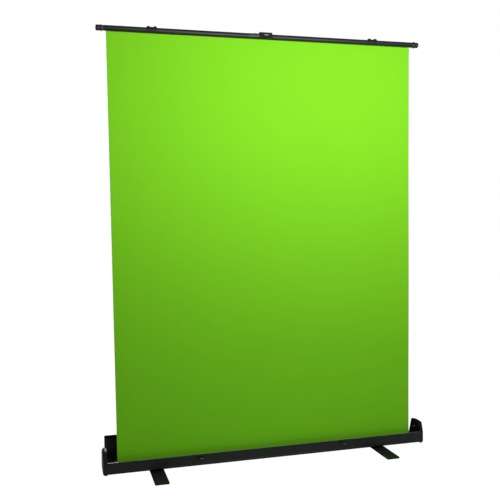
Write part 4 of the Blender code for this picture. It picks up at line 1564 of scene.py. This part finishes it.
@dataclass
class Latches:
    """The two draw latches on the case's front wall."""

    pin_hole: float = 0.0014
    barrel: Sequence[Point] = (
        (0.00135, 0.0), (0.0022, 0.0), (0.0023, 0.0002), (0.0023, 0.0134), (0.0022, 0.0136),
        (0.00135, 0.0136),
    )

    def build(self) -> None:
        """Models base, lever, pin and barrel of each latch."""
        for name in SIDES.values():
            pin = tuple(middle(f"latch_pin_{name}").yz)
            self.build_base(name, pin)
            self.build_lever(name, pin)

    def build_base(self, name: str, pin: Point) -> None:
        """The screwed base with its two ears, and the pin.

        Args:
            name: "left" or "right".
            pin: The pin's Y and Z.
        """
        low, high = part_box(f"latch_base_{name}")
        outline = filleted(oblong(low.x, low.z, high.x, high.z), 0.003)
        base = Piece.profile(f"latch_base_{name}_plate", outline, Way.Y, high.y - 0.0020, high.y)
        ear = [(high.y - 0.0010, low.z + 0.0008), (high.y - 0.0010, 0.0560), *arc(pin, 0.0030, 100, 260, 12)]
        for start in (low.x, high.x - 0.002):
            hole = circle(pin, self.pin_hole, 16)
            base.cut_by(Piece.profile("ear", ear, Way.X, start, start + 0.002, [hole]), "UNION")
        base.round_edges(0.0004).dressed(LATCH_PAINT, "case", [f"latch_base_{name}"])
        node = f"latch_pin_{name}"
        length = extent(node).x
        steps = [(0.0008, 0.0), (0.0012, 0.0004), (0.0012, length - 0.0004), (0.0008, length)]
        rod = Piece.turned(f"{node}_rod", steps, Way.X, (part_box(node)[0].x, *pin), 20)
        rod.dressed(ZINC, "case", [node])

    def build_lever(self, name: str, pin: Point) -> None:
        """The lever, with a window beside its curl where the pin's bright barrel shows.

        Args:
            name: "left" or "right".
            pin: The pin's Y and Z.
        """
        node = f"latch_lever_{name}"
        low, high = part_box(node)
        x, rear = middle(node).x, high.y + 0.0001
        outline = [
            *arc(pin, 0.0023, 120, 395, 20),
            (rear, 0.0530),
            (rear, high.z - 0.0012),
            *arc((high.y - 0.0009, high.z - 0.0010), 0.0010, 0, 90, 3),
            (low.y + 0.0012, high.z - 0.0008),
            (low.y + 0.0002, high.z - 0.0030),
            (low.y, 0.0560),
        ]
        hole = circle(pin, self.pin_hole, 16)
        lever = Piece.profile(f"{node}_press", outline, Way.X, low.x, high.x, [hole])
        window = (x + 0.0008, low.y - 0.001, low.z - 0.001), (high.x + 0.001, high.y + 0.002, 0.0529)
        lever.cut_by(Piece.box("window", *window)).round_edges(0.0005, 2, 35)
        lever.dressed(LATCH_PAINT, f"{name}_latch", [node])
        barrel = Piece.turned(f"latch_barrel_{name}", self.barrel, Way.X, (x + 0.0012, *pin), 28, hollow=True)
        barrel.dressed(BARREL, "case")


@dataclass
class Studio:
    """Camera, floor and lights."""

    place: Place = (-0.975, -3.2345, 1.159)
    yaw: float = 15.07
    pitch: float = 3.71
    roll: float = -0.83
    lens: float = 50.5
    shift: Point = (0.0066, 0.0328)
    floor_size: float = 60.0
    floor_grey: float = 0.88
    glow: float = 1.15
    glow_share: float = 0.88
    room: Place = (0.95, 0.97, 1.0)
    room_light: float = 0.07

    def build(self) -> None:
        """Sets up the view, the floor, the room and the lights: a near softbox, a fill and a rear one."""
        self.build_camera()
        self.build_floor()
        self.build_room()
        self.softbox("key_softbox", (0.36, -1.47, 1.82), (0.36, 0.0, 1.82), (2.1, 0.6), 37.5)
        self.softbox("fill_softbox", (-2.6, -2.6, 1.2), (0.0, 0.0, 0.7), (1.2, 1.6), 2.5)
        self.softbox("rear_softbox", (0.3, 2.9, 1.5), (0.0, 0.0, 0.9), (2.6, 1.6), 60)

    def build_camera(self) -> None:
        """Places the camera by its yaw, pitch and roll."""
        yaw, pitch, roll = (math.radians(angle) for angle in (self.yaw, self.pitch, self.roll))
        ahead = Vector((math.sin(yaw) * math.cos(pitch), math.cos(yaw) * math.cos(pitch), -math.sin(pitch)))
        level = Vector((math.cos(yaw), -math.sin(yaw), 0))
        upright = level.cross(ahead)
        right = math.cos(roll) * level + math.sin(roll) * upright
        up = math.cos(roll) * upright - math.sin(roll) * level
        data = bpy.data.cameras.new("camera")
        data.lens, data.sensor_width, data.clip_end = self.lens, 36.0, 60.0
        data.shift_x, data.shift_y = self.shift
        camera = bpy.data.objects.new("camera", data)
        bpy.context.scene.collection.objects.link(camera)
        turn = Matrix((right, up, -ahead)).transposed().to_4x4()
        camera.matrix_world = Matrix.Translation(self.place) @ turn
        bpy.context.scene.camera = camera

    def build_floor(self) -> None:
        """A wide pale floor, whose own glow is only seen straight on, so it lights nothing."""
        Piece.clear_bench()
        bpy.ops.mesh.primitive_plane_add(size=self.floor_size, location=(0, 0, 0))
        floor = bpy.context.object
        floor.name = "studio_floor"
        graph = Graph("pale_floor")
        graph.fix(Base_Color=(self.floor_grey, self.floor_grey, self.floor_grey, 1), Roughness=0.9)
        glow = graph.node("ShaderNodeEmission", {}, {"Strength": self.glow})
        seen = graph.node("ShaderNodeLightPath", {}, {}, "Is Camera Ray") * self.glow_share
        matt = Wire(graph, graph.shader.outputs[0])
        mixed = graph.node("ShaderNodeMixShader", {}, {0: seen, 1: matt, 2: glow})
        graph.tree.links.new(mixed.socket, graph.tree.nodes["Material Output"].inputs["Surface"])
        floor.data.materials.append(graph.material)

    def build_room(self) -> None:
        """A white room to the camera, a dimmer one to the object."""
        world = bpy.data.worlds.new("studio")
        bpy.context.scene.world = world
        world.use_nodes = True
        nodes, links = world.node_tree.nodes, world.node_tree.links
        nodes.clear()
        mix, out = nodes.new("ShaderNodeMixShader"), nodes.new("ShaderNodeOutputWorld")
        links.new(nodes.new("ShaderNodeLightPath").outputs["Is Camera Ray"], mix.inputs[0])
        for slot, (colour, strength) in enumerate(((self.room, self.room_light), ((1, 1, 1), 1.0)), start=1):
            shade = nodes.new("ShaderNodeBackground")
            shade.inputs["Color"].default_value = (*colour, 1)
            shade.inputs["Strength"].default_value = strength
            links.new(shade.outputs[0], mix.inputs[slot])
        links.new(mix.outputs[0], out.inputs[0])

    @staticmethod
    def softbox(name: str, place: Place, aim: Place, size: Point, power: float) -> None:
        """Adds a rectangular area light.

        Args:
            name: Its name.
            place: Where it hangs.
            aim: What it points at.
            size: Its width and height.
            power: Its watts.
        """
        data = bpy.data.lights.new(name, "AREA")
        data.shape, data.size, data.size_y, data.energy = "RECTANGLE", *size, power
        light = bpy.data.objects.new(name, data)
        bpy.context.scene.collection.objects.link(light)
        light.visible_camera = False
        light.rotation_euler = (Vector(aim) - Vector(place)).to_track_quat("-Z", "Y").to_euler()
        light.location = place


def main() -> None:
    """Builds the studio, then every sub-assembly in order."""
    logging.basicConfig(level=logging.INFO, format="%(name)s: %(message)s")
    bpy.context.scene.view_settings.view_transform = "Standard"
    Studio().build()
    for assembly in (FloorCase(), Lid(), Roller(), Screen(), TopBar(), FoldingFrame(), Feet(), Latches()):
        assembly.build()
        LOG.info("%s finished", type(assembly).__name__)
    Piece.clear_bench()


if __name__ == "__main__":
    main()
